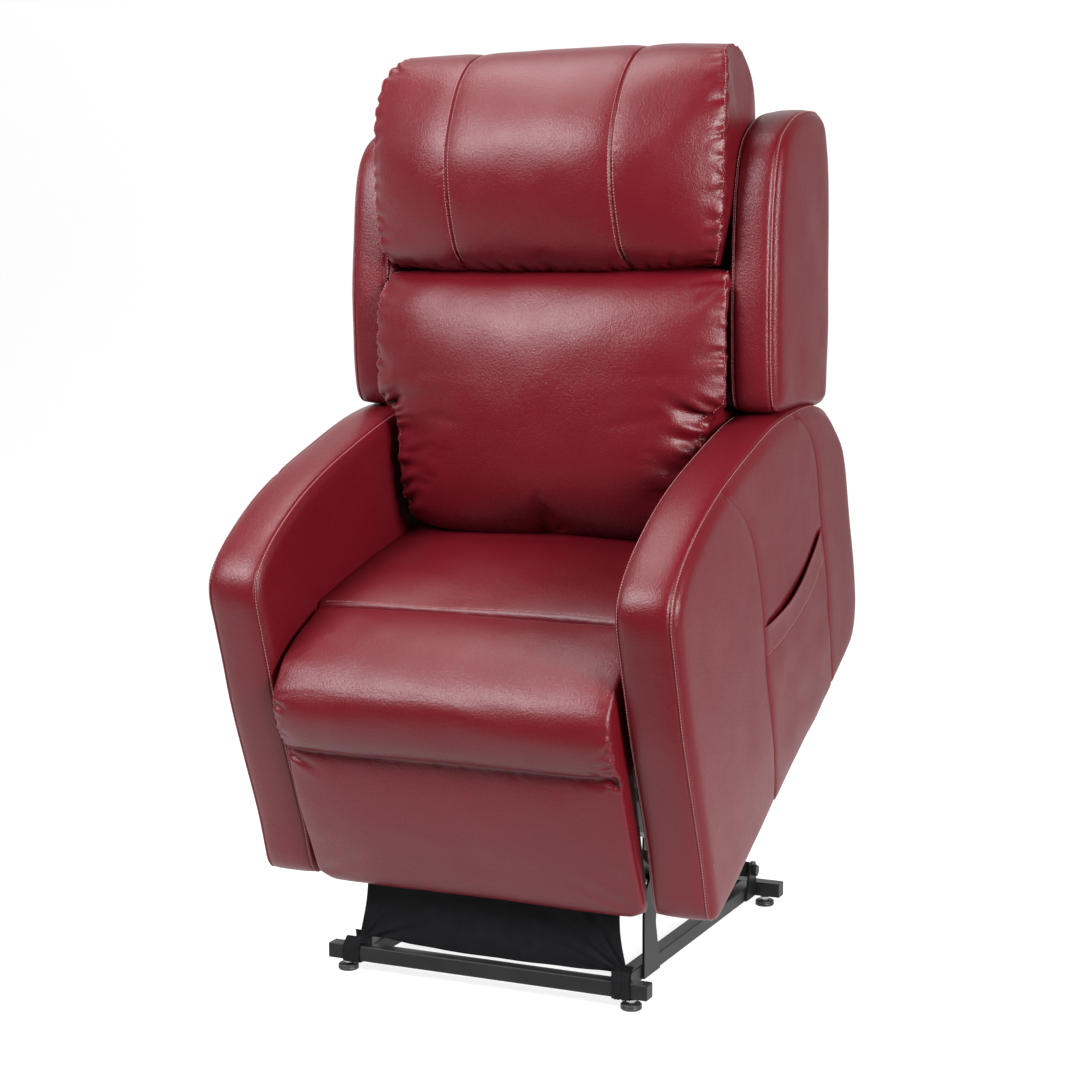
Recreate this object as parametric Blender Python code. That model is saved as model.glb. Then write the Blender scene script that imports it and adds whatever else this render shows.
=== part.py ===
"""Lift recliner chair, standing in its raised, tipped-forward position, with the leg rest closed."""

import math

import bmesh
import bpy
from mathutils import Matrix, Vector
from mathutils.geometry import tessellate_polygon

# Driving dimensions, in metres and degrees. +X is the sitter's left, -Y the front, Z = 0 the floor.
FEET_TO_MIDDLE = 0.26596
TUBE = 0.0254
BAR_HALF_LENGTH = 0.287
BAR_BOTTOM = 0.0196
REAR_BAR_Y = 0.6562
FOOT_X = 0.2555
RAIL_OUTER_X = 0.239
CHASSIS_TILT = 25.7
CHASSIS_Y = -0.020
CHASSIS_Z = 0.155
REAR_PIVOT = (0.625, 0.072)
TOWER_PIVOT = (0.137, 0.180)
LIFT_ARM_LENGTH = 0.5631
LIFT_ARM_ANGLE = -21.55
BRACKET_ARM_PIN = (0.163, 0.059)
BRACKET_LINK_PIN = (0.050, 0.113)
FRONT_LINK_LENGTH = 0.18870
FRONT_LINK_ANGLE = 148.53
LIFT_MOTOR_PIVOT = (0.656, 0.130)
LIFT_MOTOR_LENGTH = 0.61353
LIFT_MOTOR_ANGLE = 156.179
LIFT_CLEVIS = (0.200, 0.151)
SEAT_HALF_WIDTH = 0.297
ARM_INNER_X = 0.300
ARM_OUTER_X = 0.400
POCKET_DEPTH = 0.014
FOOTREST_HINGE = (-0.010, 0.405)
FOOTREST_HALF_WIDTH = 0.290
DRIVE_TUBE = (0.221, 0.266)
REAR_LINK_LENGTH = 0.222
REAR_LINK_ANGLE = -73.8
FRONT_LEG_LINK_LENGTH = 0.270
FRONT_LEG_LINK_ANGLE = 149.0
FRONT_TUBE = (0.300, 0.235)
REAR_TUBE = (0.572, 0.238)
RECLINE_MOTOR_PIVOT = (0.525, 0.107)
RECLINE_MOTOR_LENGTH = 0.32619
RECLINE_MOTOR_ANGLE = 160.457
RECLINE_MOTOR_X = 0.090
CRANK_LENGTH = 0.050
CRANK_ANGLE = 266.1
BACK_PIVOT = (0.680, 0.250)
BACK_LEAN = 24.0
HEAD_HALF_WIDTH = 0.306
WING_INNER_X = 0.3105
WING_OUTER_X = 0.390

ARM_OUTLINE = (
    (0.0085, 0.040), (0.019, 0.114), (0.027, 0.227), (0.035, 0.336), (0.046, 0.412), (0.054, 0.467),
    (0.063, 0.518), (0.081, 0.544), (0.132, 0.567), (0.223, 0.583), (0.320, 0.585), (0.453, 0.573),
    (0.583, 0.553), (0.674, 0.527), (0.740, 0.502), (0.785, 0.480), (0.832, 0.443), (0.864, 0.396),
    (0.881, 0.358), (0.885, 0.319), (0.873, 0.213), (0.863, 0.119), (0.843, 0.043), (0.808, 0.004),
    (0.751, -0.008), (0.400, -0.006), (0.050, -0.006), (0.020, -0.002), (0.0065, 0.015),
)
POCKET_RECESS = (
    (0.345, 0.085), (0.672, 0.085), (0.700, 0.205), (0.716, 0.320), (0.640, 0.303), (0.561, 0.296),
    (0.470, 0.308), (0.386, 0.335), (0.374, 0.262), (0.358, 0.165),
)
POCKET_PANEL = (
    (0.3465, 0.0865), (0.6704, 0.0865), (0.6986, 0.205), (0.7096, 0.288), (0.640, 0.270),
    (0.561, 0.263), (0.470, 0.275), (0.3818, 0.300), (0.3752, 0.262), (0.3592, 0.165),
)
FOOTREST_PROFILE = (
    (0.012, 0.008), (0.012, 0.301), (0.030, 0.303), (0.030, 0.400), (0.008, 0.392), (-0.010, 0.375),
    (-0.018, 0.345), (-0.018, 0.310), (-0.012, 0.280), (-0.001, 0.267), (-0.009, 0.250),
    (-0.015, 0.210), (-0.017, 0.140), (-0.016, 0.060), (-0.012, 0.019), (-0.002, 0.008),
)
FRONT_ROLL_PROFILE = (
    (0.0325, 0.340), (0.1955, 0.350), (0.1955, 0.423), (0.150, 0.4235), (0.090, 0.4195),
    (0.060, 0.413), (0.0325, 0.401),
)
SEAT_PROFILE = ((0.198, 0.330), (0.600, 0.263), (0.600, 0.346), (0.525, 0.361), (0.198, 0.4225))
LUMBAR_PROFILE = (
    (-0.205, 0.064), (-0.228, 0.090), (-0.258, 0.200), (-0.262, 0.400), (-0.232, 0.480),
    (-0.205, 0.4985), (-0.060, 0.4985), (-0.042, 0.480), (-0.042, 0.090), (-0.055, 0.064),
)
HEAD_PROFILE = (
    (-0.210, 0.5005), (-0.242, 0.525), (-0.278, 0.610), (-0.274, 0.720), (-0.235, 0.808),
    (-0.195, 0.846), (-0.150, 0.856), (-0.090, 0.846), (-0.052, 0.818), (-0.042, 0.765),
    (-0.042, 0.520), (-0.055, 0.5005),
)
WING_PROFILE = (
    (-0.186, 0.274), (-0.199, 0.318), (-0.200, 0.470), (-0.186, 0.610), (-0.166, 0.684),
    (-0.144, 0.710), (-0.110, 0.727), (-0.060, 0.742), (0.013, 0.752), (0.046, 0.746), (0.064, 0.728),
    (0.078, 0.680), (0.086, 0.620), (0.089, 0.488), (0.083, 0.330), (0.075, 0.268), (0.064, 0.260),
)
TOWER_OUTLINE = (
    (0.087, 0.0215), (0.157, 0.0215), (0.136, 0.105), (0.141, 0.135), (0.153, 0.166),
    (0.152, 0.184), (0.140, 0.195), (0.122, 0.193), (0.096, 0.170), (0.086, 0.125),
)
EAR_OUTLINE = (
    (0.590, 0.0215), (0.6425, 0.0215), (0.6425, 0.078), (0.636, 0.086), (0.622, 0.089), (0.610, 0.083),
)
PLATE_OUTLINE = (
    (0.196, 0.250), (0.215, 0.242), (0.296, 0.212), (0.580, 0.214), (0.690, 0.228), (0.706, 0.240),
    (0.704, 0.264), (0.690, 0.274), (0.640, 0.272), (0.600, 0.256), (0.235, 0.288), (0.207, 0.283),
)
LIFT_BRACKET_OUTLINE = (
    (0.284, 0.2215), (0.056, 0.128), (0.042, 0.126), (0.036, 0.112), (0.044, 0.099), (0.147, 0.047),
    (0.163, 0.042), (0.179, 0.053), (0.316, 0.2215),
)
FOOT_BRACKET_OUTLINE = (
    (0.0295, 0.100), (0.046, 0.120), (0.064, 0.182), (0.064, 0.199), (0.055, 0.206), (0.0295, 0.250),
)
SEAT_RAIL_OUTLINE = (
    (0.080, 0.220), (0.300, 0.205), (0.620, 0.205), (0.620, 0.250), (0.190, 0.321), (0.080, 0.325),
)

ROUND = 16


def clear_scene():
    for obj in list(bpy.data.objects):
        bpy.data.objects.remove(obj, do_unlink=True)


def material(name, colour, roughness, metallic=0.0):
    """A Principled material; colour is linear red, green, blue."""
    made = bpy.data.materials.new(name)
    made.use_nodes = True
    shader = made.node_tree.nodes["Principled BSDF"]
    shader.inputs["Base Color"].default_value = (*colour, 1.0)
    shader.inputs["Roughness"].default_value = roughness
    shader.inputs["Metallic"].default_value = metallic
    made.diffuse_color = (*colour, 1.0)
    made.roughness = roughness
    made.metallic = metallic
    return made


def pivot(name, parent, y, z, degrees=0.0):
    """An empty on a joint axis, turned about X."""
    empty = bpy.data.objects.new(name, None)
    bpy.context.scene.collection.objects.link(empty)
    empty.empty_display_size = 0.05
    empty.parent = parent
    empty.location = (0.0, y, z)
    empty.rotation_euler = (math.radians(degrees), 0.0, 0.0)
    return empty


def add_object(name, bm, parent, look):
    bmesh.ops.recalc_face_normals(bm, faces=bm.faces)
    mesh = bpy.data.meshes.new(name)
    bm.to_mesh(mesh)
    bm.free()
    mesh.materials.append(look)
    obj = bpy.data.objects.new(name, mesh)
    bpy.context.scene.collection.objects.link(obj)
    obj.parent = parent
    return obj


def circle(centre, radius, count=ROUND):
    """Points of a circle in the Y-Z plane."""
    steps = [2 * math.pi * i / count for i in range(count)]
    return [(centre[0] + radius * math.cos(a), centre[1] + radius * math.sin(a)) for a in steps]


def capsule(a, b, radius, count=7):
    """Outline of a straight link with rounded ends, in the Y-Z plane."""
    along = math.atan2(b[1] - a[1], b[0] - a[0])
    points = []
    for centre, start in ((b, along - math.pi / 2), (a, along + math.pi / 2)):
        for i in range(count):
            turn = start + math.pi * i / (count - 1)
            points.append((centre[0] + radius * math.cos(turn), centre[1] + radius * math.sin(turn)))
    return points


def polar(start, length, degrees):
    turn = math.radians(degrees)
    return (start[0] + length * math.cos(turn), start[1] + length * math.sin(turn))


def plate(name, outline, low_x, high_x, parent, look, holes=()):
    """A Y-Z outline with round holes through it, extruded along X."""
    loops = [list(outline)] + [circle((y, z), radius) for y, z, radius in holes]
    flat = [point for loop in loops for point in loop]
    triangles = tessellate_polygon([[Vector((y, z, 0.0)) for y, z in loop] for loop in loops])
    bm = bmesh.new()
    low = [bm.verts.new((low_x, y, z)) for y, z in flat]
    high = [bm.verts.new((high_x, y, z)) for y, z in flat]
    for a, b, c in triangles:
        bm.faces.new((low[a], low[b], low[c]))
        bm.faces.new((high[a], high[b], high[c]))
    first = 0
    for loop in loops:
        for i in range(len(loop)):
            a = first + i
            b = first + (i + 1) % len(loop)
            bm.faces.new((low[a], low[b], high[b], high[a]))
        first += len(loop)
    return add_object(name, bm, parent, look)


def soften(obj, width, segments=2):
    """Rounds the sharp edges."""
    bevel = obj.modifiers.new("rounded edges", "BEVEL")
    bevel.width = width
    bevel.segments = segments
    bevel.limit_method = "ANGLE"
    bevel.angle_limit = math.radians(50)
    bevel.use_clamp_overlap = True
    return obj


def prism(name, outline, low_x, high_x, parent, look, rounding=0.0, segments=2):
    """A Y-Z outline extruded along X, with its rims rounded."""
    bm = bmesh.new()
    low = [bm.verts.new((low_x, y, z)) for y, z in outline]
    high = [bm.verts.new((high_x, y, z)) for y, z in outline]
    bm.faces.new(low)
    bm.faces.new(high)
    for i in range(len(outline)):
        j = (i + 1) % len(outline)
        bm.faces.new((low[i], low[j], high[j], high[i]))
    obj = add_object(name, bm, parent, look)
    return soften(obj, rounding, segments) if rounding else obj


def slab(name, outline, low_y, high_y, parent, look, rounding=0.0):
    """An X-Z outline extruded along Y."""
    bm = bmesh.new()
    low = [bm.verts.new((x, low_y, z)) for x, z in outline]
    high = [bm.verts.new((x, high_y, z)) for x, z in outline]
    bm.faces.new(low)
    bm.faces.new(high)
    for i in range(len(outline)):
        j = (i + 1) % len(outline)
        bm.faces.new((low[i], low[j], high[j], high[i]))
    obj = add_object(name, bm, parent, look)
    return soften(obj, rounding) if rounding else obj


def box(name, x, y, z, parent, look, rounding=0.0):
    outline = ((y[0], z[0]), (y[1], z[0]), (y[1], z[1]), (y[0], z[1]))
    return prism(name, outline, x[0], x[1], parent, look, rounding, 1)


def rod(name, start, end, radius, parent, look, count=ROUND):
    """A round bar from one point to another."""
    a = Vector(start)
    b = Vector(end)
    turn = (b - a).to_track_quat("Z", "Y").to_matrix().to_4x4()
    bm = bmesh.new()
    bmesh.ops.create_cone(
        bm, cap_ends=True, cap_tris=False, segments=count, radius1=radius, radius2=radius,
        depth=(b - a).length, matrix=Matrix.Translation((a + b) / 2) @ turn,
    )
    return add_object(name, bm, parent, look)


def cross_pin(name, x, centre, radius, parent, look, count=ROUND):
    """A round pin along X."""
    return rod(name, (x[0], *centre), (x[1], *centre), radius, parent, look, count)


def combine(obj, operation, others):
    """Joins helper solids to obj, or cuts them from it."""
    for other in others:
        other.hide_render = True
        other.display_type = "WIRE"
        change = obj.modifiers.new(other.name, "BOOLEAN")
        change.operation = operation
        change.solver = "EXACT"
        change.object = other
    return obj


def sides():
    """Each side's name, and its sign along X."""
    return (("left", 1), ("right", -1))


def span(side, near, far):
    """The X range on one side, low end first."""
    return (near, far) if side > 0 else (-far, -near)


def base_bars(chair, steel):
    half = TUBE / 2
    top = BAR_BOTTOM + TUBE
    box("base_front_bar", (-BAR_HALF_LENGTH, BAR_HALF_LENGTH), (-half, half), (BAR_BOTTOM, top), chair,
        steel, 0.0015)
    rear = box("base_rear_bar", (-BAR_HALF_LENGTH, BAR_HALF_LENGTH), (REAR_BAR_Y - half, REAR_BAR_Y + half),
               (BAR_BOTTOM, top), chair, steel)
    y, z = LIFT_MOTOR_PIVOT
    crown = [polar((y, z), 0.011, degrees) for degrees in range(0, 181, 30)]
    outline = [(y - 0.0125, top - 0.005), (y + 0.011, top - 0.005)] + crown
    ears = [
        prism("bracket_cheek_" + name, outline, *span(sign, 0.016, 0.020), chair, steel)
        for name, sign in sides()
    ]
    pin = cross_pin("bracket_pin", (-0.0225, 0.0225), (y, z), 0.005, chair, steel)
    combine(rear, "UNION", ears + [pin])


def base_rails(chair, steel):
    half = TUBE / 2
    for name, sign in sides():
        box("base_rail_" + name, span(sign, RAIL_OUTER_X - TUBE, RAIL_OUTER_X),
            (half + 0.0004, REAR_BAR_Y - half - 0.0004), (BAR_BOTTOM, BAR_BOTTOM + TUBE), chair, steel, 0.0015)


def base_plates(chair, steel):
    """The front towers and the rear ears, standing on the outside of the rails."""
    for name, sign in sides():
        x = span(sign, RAIL_OUTER_X + 0.0004, RAIL_OUTER_X + 0.0044)
        plate("tower_" + name, TOWER_OUTLINE, *x, chair, steel, [(*TOWER_PIVOT, 0.0058)])
        plate("rear_ear_" + name, EAR_OUTLINE, *x, chair, steel, [(*REAR_PIVOT, 0.0066)])


def pivot_bolts(chair, steel):
    for name, sign in sides():
        bolt = cross_pin("pivot_bolt_" + name, span(sign, 0.2180, 0.2460), REAR_PIVOT, 0.006, chair, steel)
        head = cross_pin("bolt_head_" + name, span(sign, 0.2440, 0.2515), REAR_PIVOT, 0.0105, chair, steel, 6)
        combine(bolt, "UNION", [head])


def levelling_feet(chair, plastic):
    for end, y in (("front", 0.0), ("rear", REAR_BAR_Y)):
        for name, sign in sides():
            x = sign * FOOT_X
            foot = rod("levelling_foot_" + end + "_" + name, (x, y, 0.0), (x, y, 0.0105), 0.0172, chair,
                       plastic, 20)
            stud = rod("stud_" + end + "_" + name, (x, y, 0.009), (x, y, 0.0192), 0.0055, chair, plastic, 12)
            combine(foot, "UNION", [stud])


def base_skirt(chair, cloth):
    """The black cloth screen between the front bar and the leg rest."""
    outline = (
        (-0.240, 0.048), (-0.170, 0.058), (-0.080, 0.052), (0.080, 0.052), (0.170, 0.058),
        (0.240, 0.048), (0.234, 0.120), (0.230, 0.212), (-0.230, 0.212), (-0.234, 0.120),
    )
    slab("base_skirt", outline, 0.0155, 0.0180, chair, cloth)


def lift_arms(chair, steel):
    """The pair of arms on the rear torque tube that raise the seat; they turn about the tube."""
    swing = pivot("lift_arm_pivot", chair, *REAR_PIVOT, LIFT_ARM_ANGLE)
    half = TUBE / 2
    tube = box("lift_torque_tube", (-0.2365, 0.2365), (-half, half), (-half, half), swing, steel)
    bores = [
        cross_pin("torque_tube_bore_" + name, span(sign, 0.2160, 0.2400), (0.0, 0.0), 0.0066, swing, steel)
        for name, sign in sides()
    ]
    combine(tube, "DIFFERENCE", bores)
    outline = [(-half - 0.0006, -half), (-half - 0.0006, half)] + [
        (y, z) for y, z in circle((-LIFT_ARM_LENGTH, 0.0), half + 0.001, 20) if y < -LIFT_ARM_LENGTH + 0.001
    ]
    for name, sign in sides():
        plate("lift_arm_" + name, outline, *span(sign, 0.1950, 0.2204), swing, steel,
              [(-LIFT_ARM_LENGTH, 0.0, 0.0066)])


def front_links(chair, steel):
    """The short links that tip the seat forward; each turns on its tower's pin."""
    swing = pivot("front_link_pivot", chair, *TOWER_PIVOT)
    far = polar((0.0, 0.0), FRONT_LINK_LENGTH, FRONT_LINK_ANGLE)
    for name, sign in sides():
        link = plate("front_link_" + name, capsule((0.0, 0.0), far, 0.012), *span(sign, 0.2265, 0.2345),
                     swing, steel, [(*far, 0.0066)])
        shank = cross_pin("tower_pin_" + name, span(sign, 0.2300, 0.2450), (0.0, 0.0), 0.005, swing, steel)
        head = cross_pin("tower_nut_" + name, span(sign, 0.2438, 0.2485), (0.0, 0.0), 0.0085, swing, steel, 6)
        combine(link, "UNION", [shank, head])


def actuator(name, swing, slide, length, x, looks, side):
    """A linear actuator: motor housing with its bored tube, and the rod that slides in it."""
    housing_look, rod_look = looks
    body = box(name + "_motor", (x - 0.024, x + 0.024), (0.020, 0.125), (-0.023, 0.023), swing, housing_look,
               0.004)
    lug = plate(name + "_rear_lug", capsule((0.0, 0.0), (0.030, 0.0), 0.0105), x - 0.011, x + 0.011, swing,
                housing_look, [(0.0, 0.0, 0.0056)])
    tube = rod(name + "_outer_tube", (x, 0.115, 0.0), (x, length * 0.62, 0.0), 0.0185, swing, housing_look)
    can = rod(name + "_motor_can", (x + side * 0.015, 0.070, 0.0), (x + side * 0.100, 0.070, 0.0), 0.021,
              swing, housing_look)
    combine(body, "UNION", [lug, tube, can])
    bore = rod(name + "_bore", (x, length * 0.22, 0.0), (x, length * 0.62 + 0.02, 0.0), 0.0108, swing,
               housing_look)
    combine(body, "DIFFERENCE", [bore])
    shaft = rod(name + "_actuator_rod", (x, length * 0.40, 0.0), (x, length - 0.012, 0.0), 0.0095, slide,
                rod_look)
    eye = plate(name + "_front_eye", capsule((length, 0.0), (length - 0.020, 0.0), 0.0105), x - 0.0085,
                x + 0.0085, slide, rod_look, [(length, 0.0, 0.0055)])
    combine(shaft, "UNION", [eye])


def lift_actuator(chair, plastic, steel):
    swing = pivot("lift_motor_pivot", chair, *LIFT_MOTOR_PIVOT, LIFT_MOTOR_ANGLE)
    slide = pivot("lift_rod_slide", swing, 0.0, 0.0)
    actuator("lift", swing, slide, LIFT_MOTOR_LENGTH, 0.0, (plastic, steel), -1)


def lift_brackets(chassis, steel):
    """Plates under the front tube that carry the pins of the lift arms and of the front links."""
    for name, sign in sides():
        bracket = plate("lift_bracket_" + name, LIFT_BRACKET_OUTLINE, *span(sign, 0.2215, 0.2250), chassis,
                        steel)
        arm_pin = cross_pin("arm_pin_" + name, span(sign, 0.1930, 0.2230), BRACKET_ARM_PIN, 0.006, chassis,
                            steel)
        link_pin = cross_pin("link_pin_" + name, span(sign, 0.2235, 0.2358), BRACKET_LINK_PIN, 0.005,
                             chassis, steel)
        combine(bracket, "UNION", [arm_pin, link_pin])


def square_tube(name, centre, half_length, parent, look):
    half = TUBE / 2
    y, z = centre
    return box(name, (-half_length, half_length), (y - half, y + half), (z - half, z + half), parent, look)


def cross_tubes(chassis, steel):
    """The two tubes across the seat, with the brackets that hold the motors."""
    front = square_tube("front_cross_tube", FRONT_TUBE, 0.2660, chassis, steel)
    y, z = FRONT_TUBE
    outline = capsule(LIFT_CLEVIS, (y, z - 0.004), 0.011)
    cheeks = [
        prism("clevis_cheek_" + name, outline, *span(sign, 0.0125, 0.0165), chassis, steel)
        for name, sign in sides()
    ]
    combine(front, "UNION", cheeks)
    rear = square_tube("rear_cross_tube", REAR_TUBE, 0.2660, chassis, steel)
    y, z = REAR_TUBE
    outline = capsule(RECLINE_MOTOR_PIVOT, (y, z - 0.004), 0.010)
    cheeks = [
        prism("recline_cheek_" + name, outline, x - 0.002, x + 0.002, chassis, steel)
        for name, x in (("inner", RECLINE_MOTOR_X - 0.016), ("outer", RECLINE_MOTOR_X + 0.016))
    ]
    pin = cross_pin("recline_pin", (RECLINE_MOTOR_X - 0.020, RECLINE_MOTOR_X + 0.020), RECLINE_MOTOR_PIVOT,
                    0.005, chassis, steel)
    combine(rear, "UNION", cheeks + [pin])


def mechanism_plates(chassis, steel):
    """Steel side plates that carry the drive tube and the pins of the back."""
    for name, sign in sides():
        side = plate("mechanism_plate_" + name, PLATE_OUTLINE, *span(sign, 0.2665, 0.2705), chassis, steel,
                     [(*DRIVE_TUBE, 0.0066)])
        pin = cross_pin("back_pin_" + name, span(sign, 0.2545, 0.2690), BACK_PIVOT, 0.006, chassis, steel)
        combine(side, "UNION", [pin])


def seat_frame(chassis, wood):
    for name, sign in sides():
        prism("seat_rail_" + name, SEAT_RAIL_OUTLINE, *span(sign, 0.2712, 0.2985), chassis, wood, 0.002, 1)
    box("seat_front_rail", (-0.2705, 0.2705), (0.090, 0.120), (0.262, 0.327), chassis, wood, 0.002)


def seat_springs(chassis, wire):
    """Three zig-zag springs under the seat cushion."""
    start = Vector((0.0, 0.100, 0.3325))
    end = Vector((0.0, 0.566, 0.2575))
    for name, x in (("left", 0.150), ("middle", 0.0), ("right", -0.150)):
        curve = bpy.data.curves.new("seat_spring_" + name, "CURVE")
        curve.dimensions = "3D"
        curve.bevel_depth = 0.0020
        curve.bevel_resolution = 1
        curve.use_fill_caps = True
        count = 34
        spline = curve.splines.new("POLY")
        spline.points.add(count - 1)
        for i in range(count):
            share = i / (count - 1)
            centre = start.lerp(end, share)
            side = (0.0, 0.030, 0.030, 0.0, -0.030, -0.030)[i % 6]
            spline.points[i].co = (x + side, centre.y, centre.z, 1.0)
        curve.materials.append(wire)
        obj = bpy.data.objects.new("seat_spring_" + name, curve)
        bpy.context.scene.collection.objects.link(obj)
        obj.parent = chassis


def seat_cushions(chassis, vinyl):
    prism("seat_cushion", SEAT_PROFILE, -SEAT_HALF_WIDTH, SEAT_HALF_WIDTH, chassis, vinyl, 0.012)
    prism("seat_front_roll", FRONT_ROLL_PROFILE, -FOOTREST_HALF_WIDTH, FOOTREST_HALF_WIDTH, chassis, vinyl,
          0.008)


def arms(chassis, vinyl):
    """Upholstered arms, each with a pocket let into its outer face."""
    for name, sign in sides():
        arm = prism("arm_" + name, ARM_OUTLINE, *span(sign, ARM_INNER_X, ARM_OUTER_X), chassis, vinyl, 0.007)
        recess = prism("pocket_recess_" + name, POCKET_RECESS,
                       *span(sign, ARM_OUTER_X - POCKET_DEPTH, ARM_OUTER_X + 0.010), chassis, vinyl)
        combine(arm, "DIFFERENCE", [recess])
        prism("pocket_panel_" + name, POCKET_PANEL, *span(sign, ARM_OUTER_X - 0.0032, ARM_OUTER_X - 0.0002),
              chassis, vinyl)


def control_box(chassis, plastic):
    """The power control box under the seat, with two plug sockets in its end."""
    case = box("control_box", (-0.200, -0.070), (0.430, 0.558), (0.196, 0.236), chassis, plastic, 0.004)
    sockets = [
        box("control_socket_" + str(i), (x - 0.008, x + 0.008), (0.420, 0.444), (0.208, 0.224), chassis,
            plastic)
        for i, x in enumerate((-0.165, -0.105))
    ]
    combine(case, "DIFFERENCE", sockets)


def footrest(chassis, looks):
    """The leg rest, which turns about its hinge line at the front top edge."""
    vinyl, wood, steel = looks
    hinge_y, hinge_z = FOOTREST_HINGE
    swing = pivot("footrest_hinge", chassis, hinge_y, hinge_z)

    def here(points):
        return [(y - hinge_y, z - hinge_z) for y, z in points]

    prism("footrest_pad", here(FOOTREST_PROFILE), -FOOTREST_HALF_WIDTH, FOOTREST_HALF_WIDTH, swing, vinyl,
          0.005)
    board = here([(0.0126, 0.036), (0.0286, 0.036), (0.0286, 0.290), (0.0126, 0.290)])
    prism("footrest_board", board, -0.2720, 0.2720, swing, wood, 0.0015, 1)
    knee = polar(DRIVE_TUBE, REAR_LINK_LENGTH, REAR_LINK_ANGLE)
    end = here([polar(knee, FRONT_LEG_LINK_LENGTH, FRONT_LEG_LINK_ANGLE)])[0]
    for name, sign in sides():
        bracket = plate("footrest_bracket_" + name, here(FOOT_BRACKET_OUTLINE), *span(sign, 0.2610, 0.2650),
                        swing, steel)
        pin = cross_pin("footrest_pin_" + name, span(sign, 0.2545, 0.2630), end, 0.0045, swing, steel)
        combine(bracket, "UNION", [pin])


def leg_links(chassis, steel):
    """The drive tube with its rear links, and the front links that push the leg rest out."""
    swing = pivot("drive_tube_axis", chassis, *DRIVE_TUBE)
    knee = polar((0.0, 0.0), REAR_LINK_LENGTH, REAR_LINK_ANGLE)
    tube = cross_pin("footrest_drive_tube", (-0.2492, 0.2492), (0.0, 0.0), TUBE / 2, swing, steel)
    stub = cross_pin("drive_tube_stub", (-0.2698, 0.2698), (0.0, 0.0), 0.0060, swing, steel)
    crank = polar((0.0, 0.0), CRANK_LENGTH, CRANK_ANGLE)
    cheeks = [
        prism("crank_cheek_" + name, capsule((0.0, 0.0), crank, 0.010), x - 0.002, x + 0.002, swing, steel)
        for name, x in (("inner", RECLINE_MOTOR_X - 0.0135), ("outer", RECLINE_MOTOR_X + 0.0135))
    ]
    combine(tube, "UNION", [stub] + cheeks)
    front_swing = pivot("leg_link_knee", swing, *knee)
    far = polar((0.0, 0.0), FRONT_LEG_LINK_LENGTH, FRONT_LEG_LINK_ANGLE)
    for name, sign in sides():
        rear = plate("leg_link_rear_" + name, capsule((0.0, 0.0), knee, 0.012), *span(sign, 0.2500, 0.2540),
                     swing, steel, [(0.0, 0.0, 0.0065)])
        pin = cross_pin("knee_pin_" + name, span(sign, 0.2520, 0.2603), knee, 0.0050, swing, steel)
        combine(rear, "UNION", [pin])
        plate("leg_link_front_" + name, capsule((0.0, 0.0), far, 0.011), *span(sign, 0.2555, 0.2595),
              front_swing, steel, [(0.0, 0.0, 0.0056), (*far, 0.0062)])


def recline_actuator(chassis, plastic, steel):
    swing = pivot("recline_motor_pivot", chassis, *RECLINE_MOTOR_PIVOT, RECLINE_MOTOR_ANGLE)
    slide = pivot("recline_rod_slide", swing, 0.0, 0.0)
    actuator("recline", swing, slide, RECLINE_MOTOR_LENGTH, RECLINE_MOTOR_X, (plastic, steel), 1)


def back(chassis, looks):
    """The back: steel-pinned frame, outer panel, lumbar and head cushions, and the two wings."""
    vinyl, wood = looks
    swing = pivot("back_hinge", chassis, *BACK_PIVOT, -BACK_LEAN)
    frame = box("back_frame", (-0.2620, 0.2620), (-0.034, 0.052), (-0.034, 0.700), swing, wood)
    windows = [
        box("frame_window_" + str(i), (-0.2150, 0.2150), (-0.050, 0.070), z, swing, wood)
        for i, z in enumerate(((0.040, 0.330), (0.380, 0.650)))
    ]
    bores = [
        cross_pin("frame_bore_" + name, span(sign, 0.2530, 0.2700), (0.0, 0.0), 0.0066, swing, wood)
        for name, sign in sides()
    ]
    combine(frame, "DIFFERENCE", windows + bores)
    outline = (
        (-0.288, -0.050), (0.288, -0.050), (0.288, 0.235), (0.308, 0.262), (0.308, 0.725), (0.290, 0.742),
        (-0.290, 0.742), (-0.308, 0.725), (-0.308, 0.262), (-0.288, 0.235),
    )
    slab("back_panel", outline, 0.0560, 0.0800, swing, vinyl, 0.005)
    prism("lumbar_cushion", LUMBAR_PROFILE, -SEAT_HALF_WIDTH, SEAT_HALF_WIDTH, swing, vinyl, 0.010)
    prism("head_cushion", HEAD_PROFILE, -HEAD_HALF_WIDTH, HEAD_HALF_WIDTH, swing, vinyl, 0.010)
    for name, sign in sides():
        prism("wing_" + name, WING_PROFILE, *span(sign, WING_INNER_X, WING_OUTER_X), swing, vinyl, 0.010)


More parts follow.
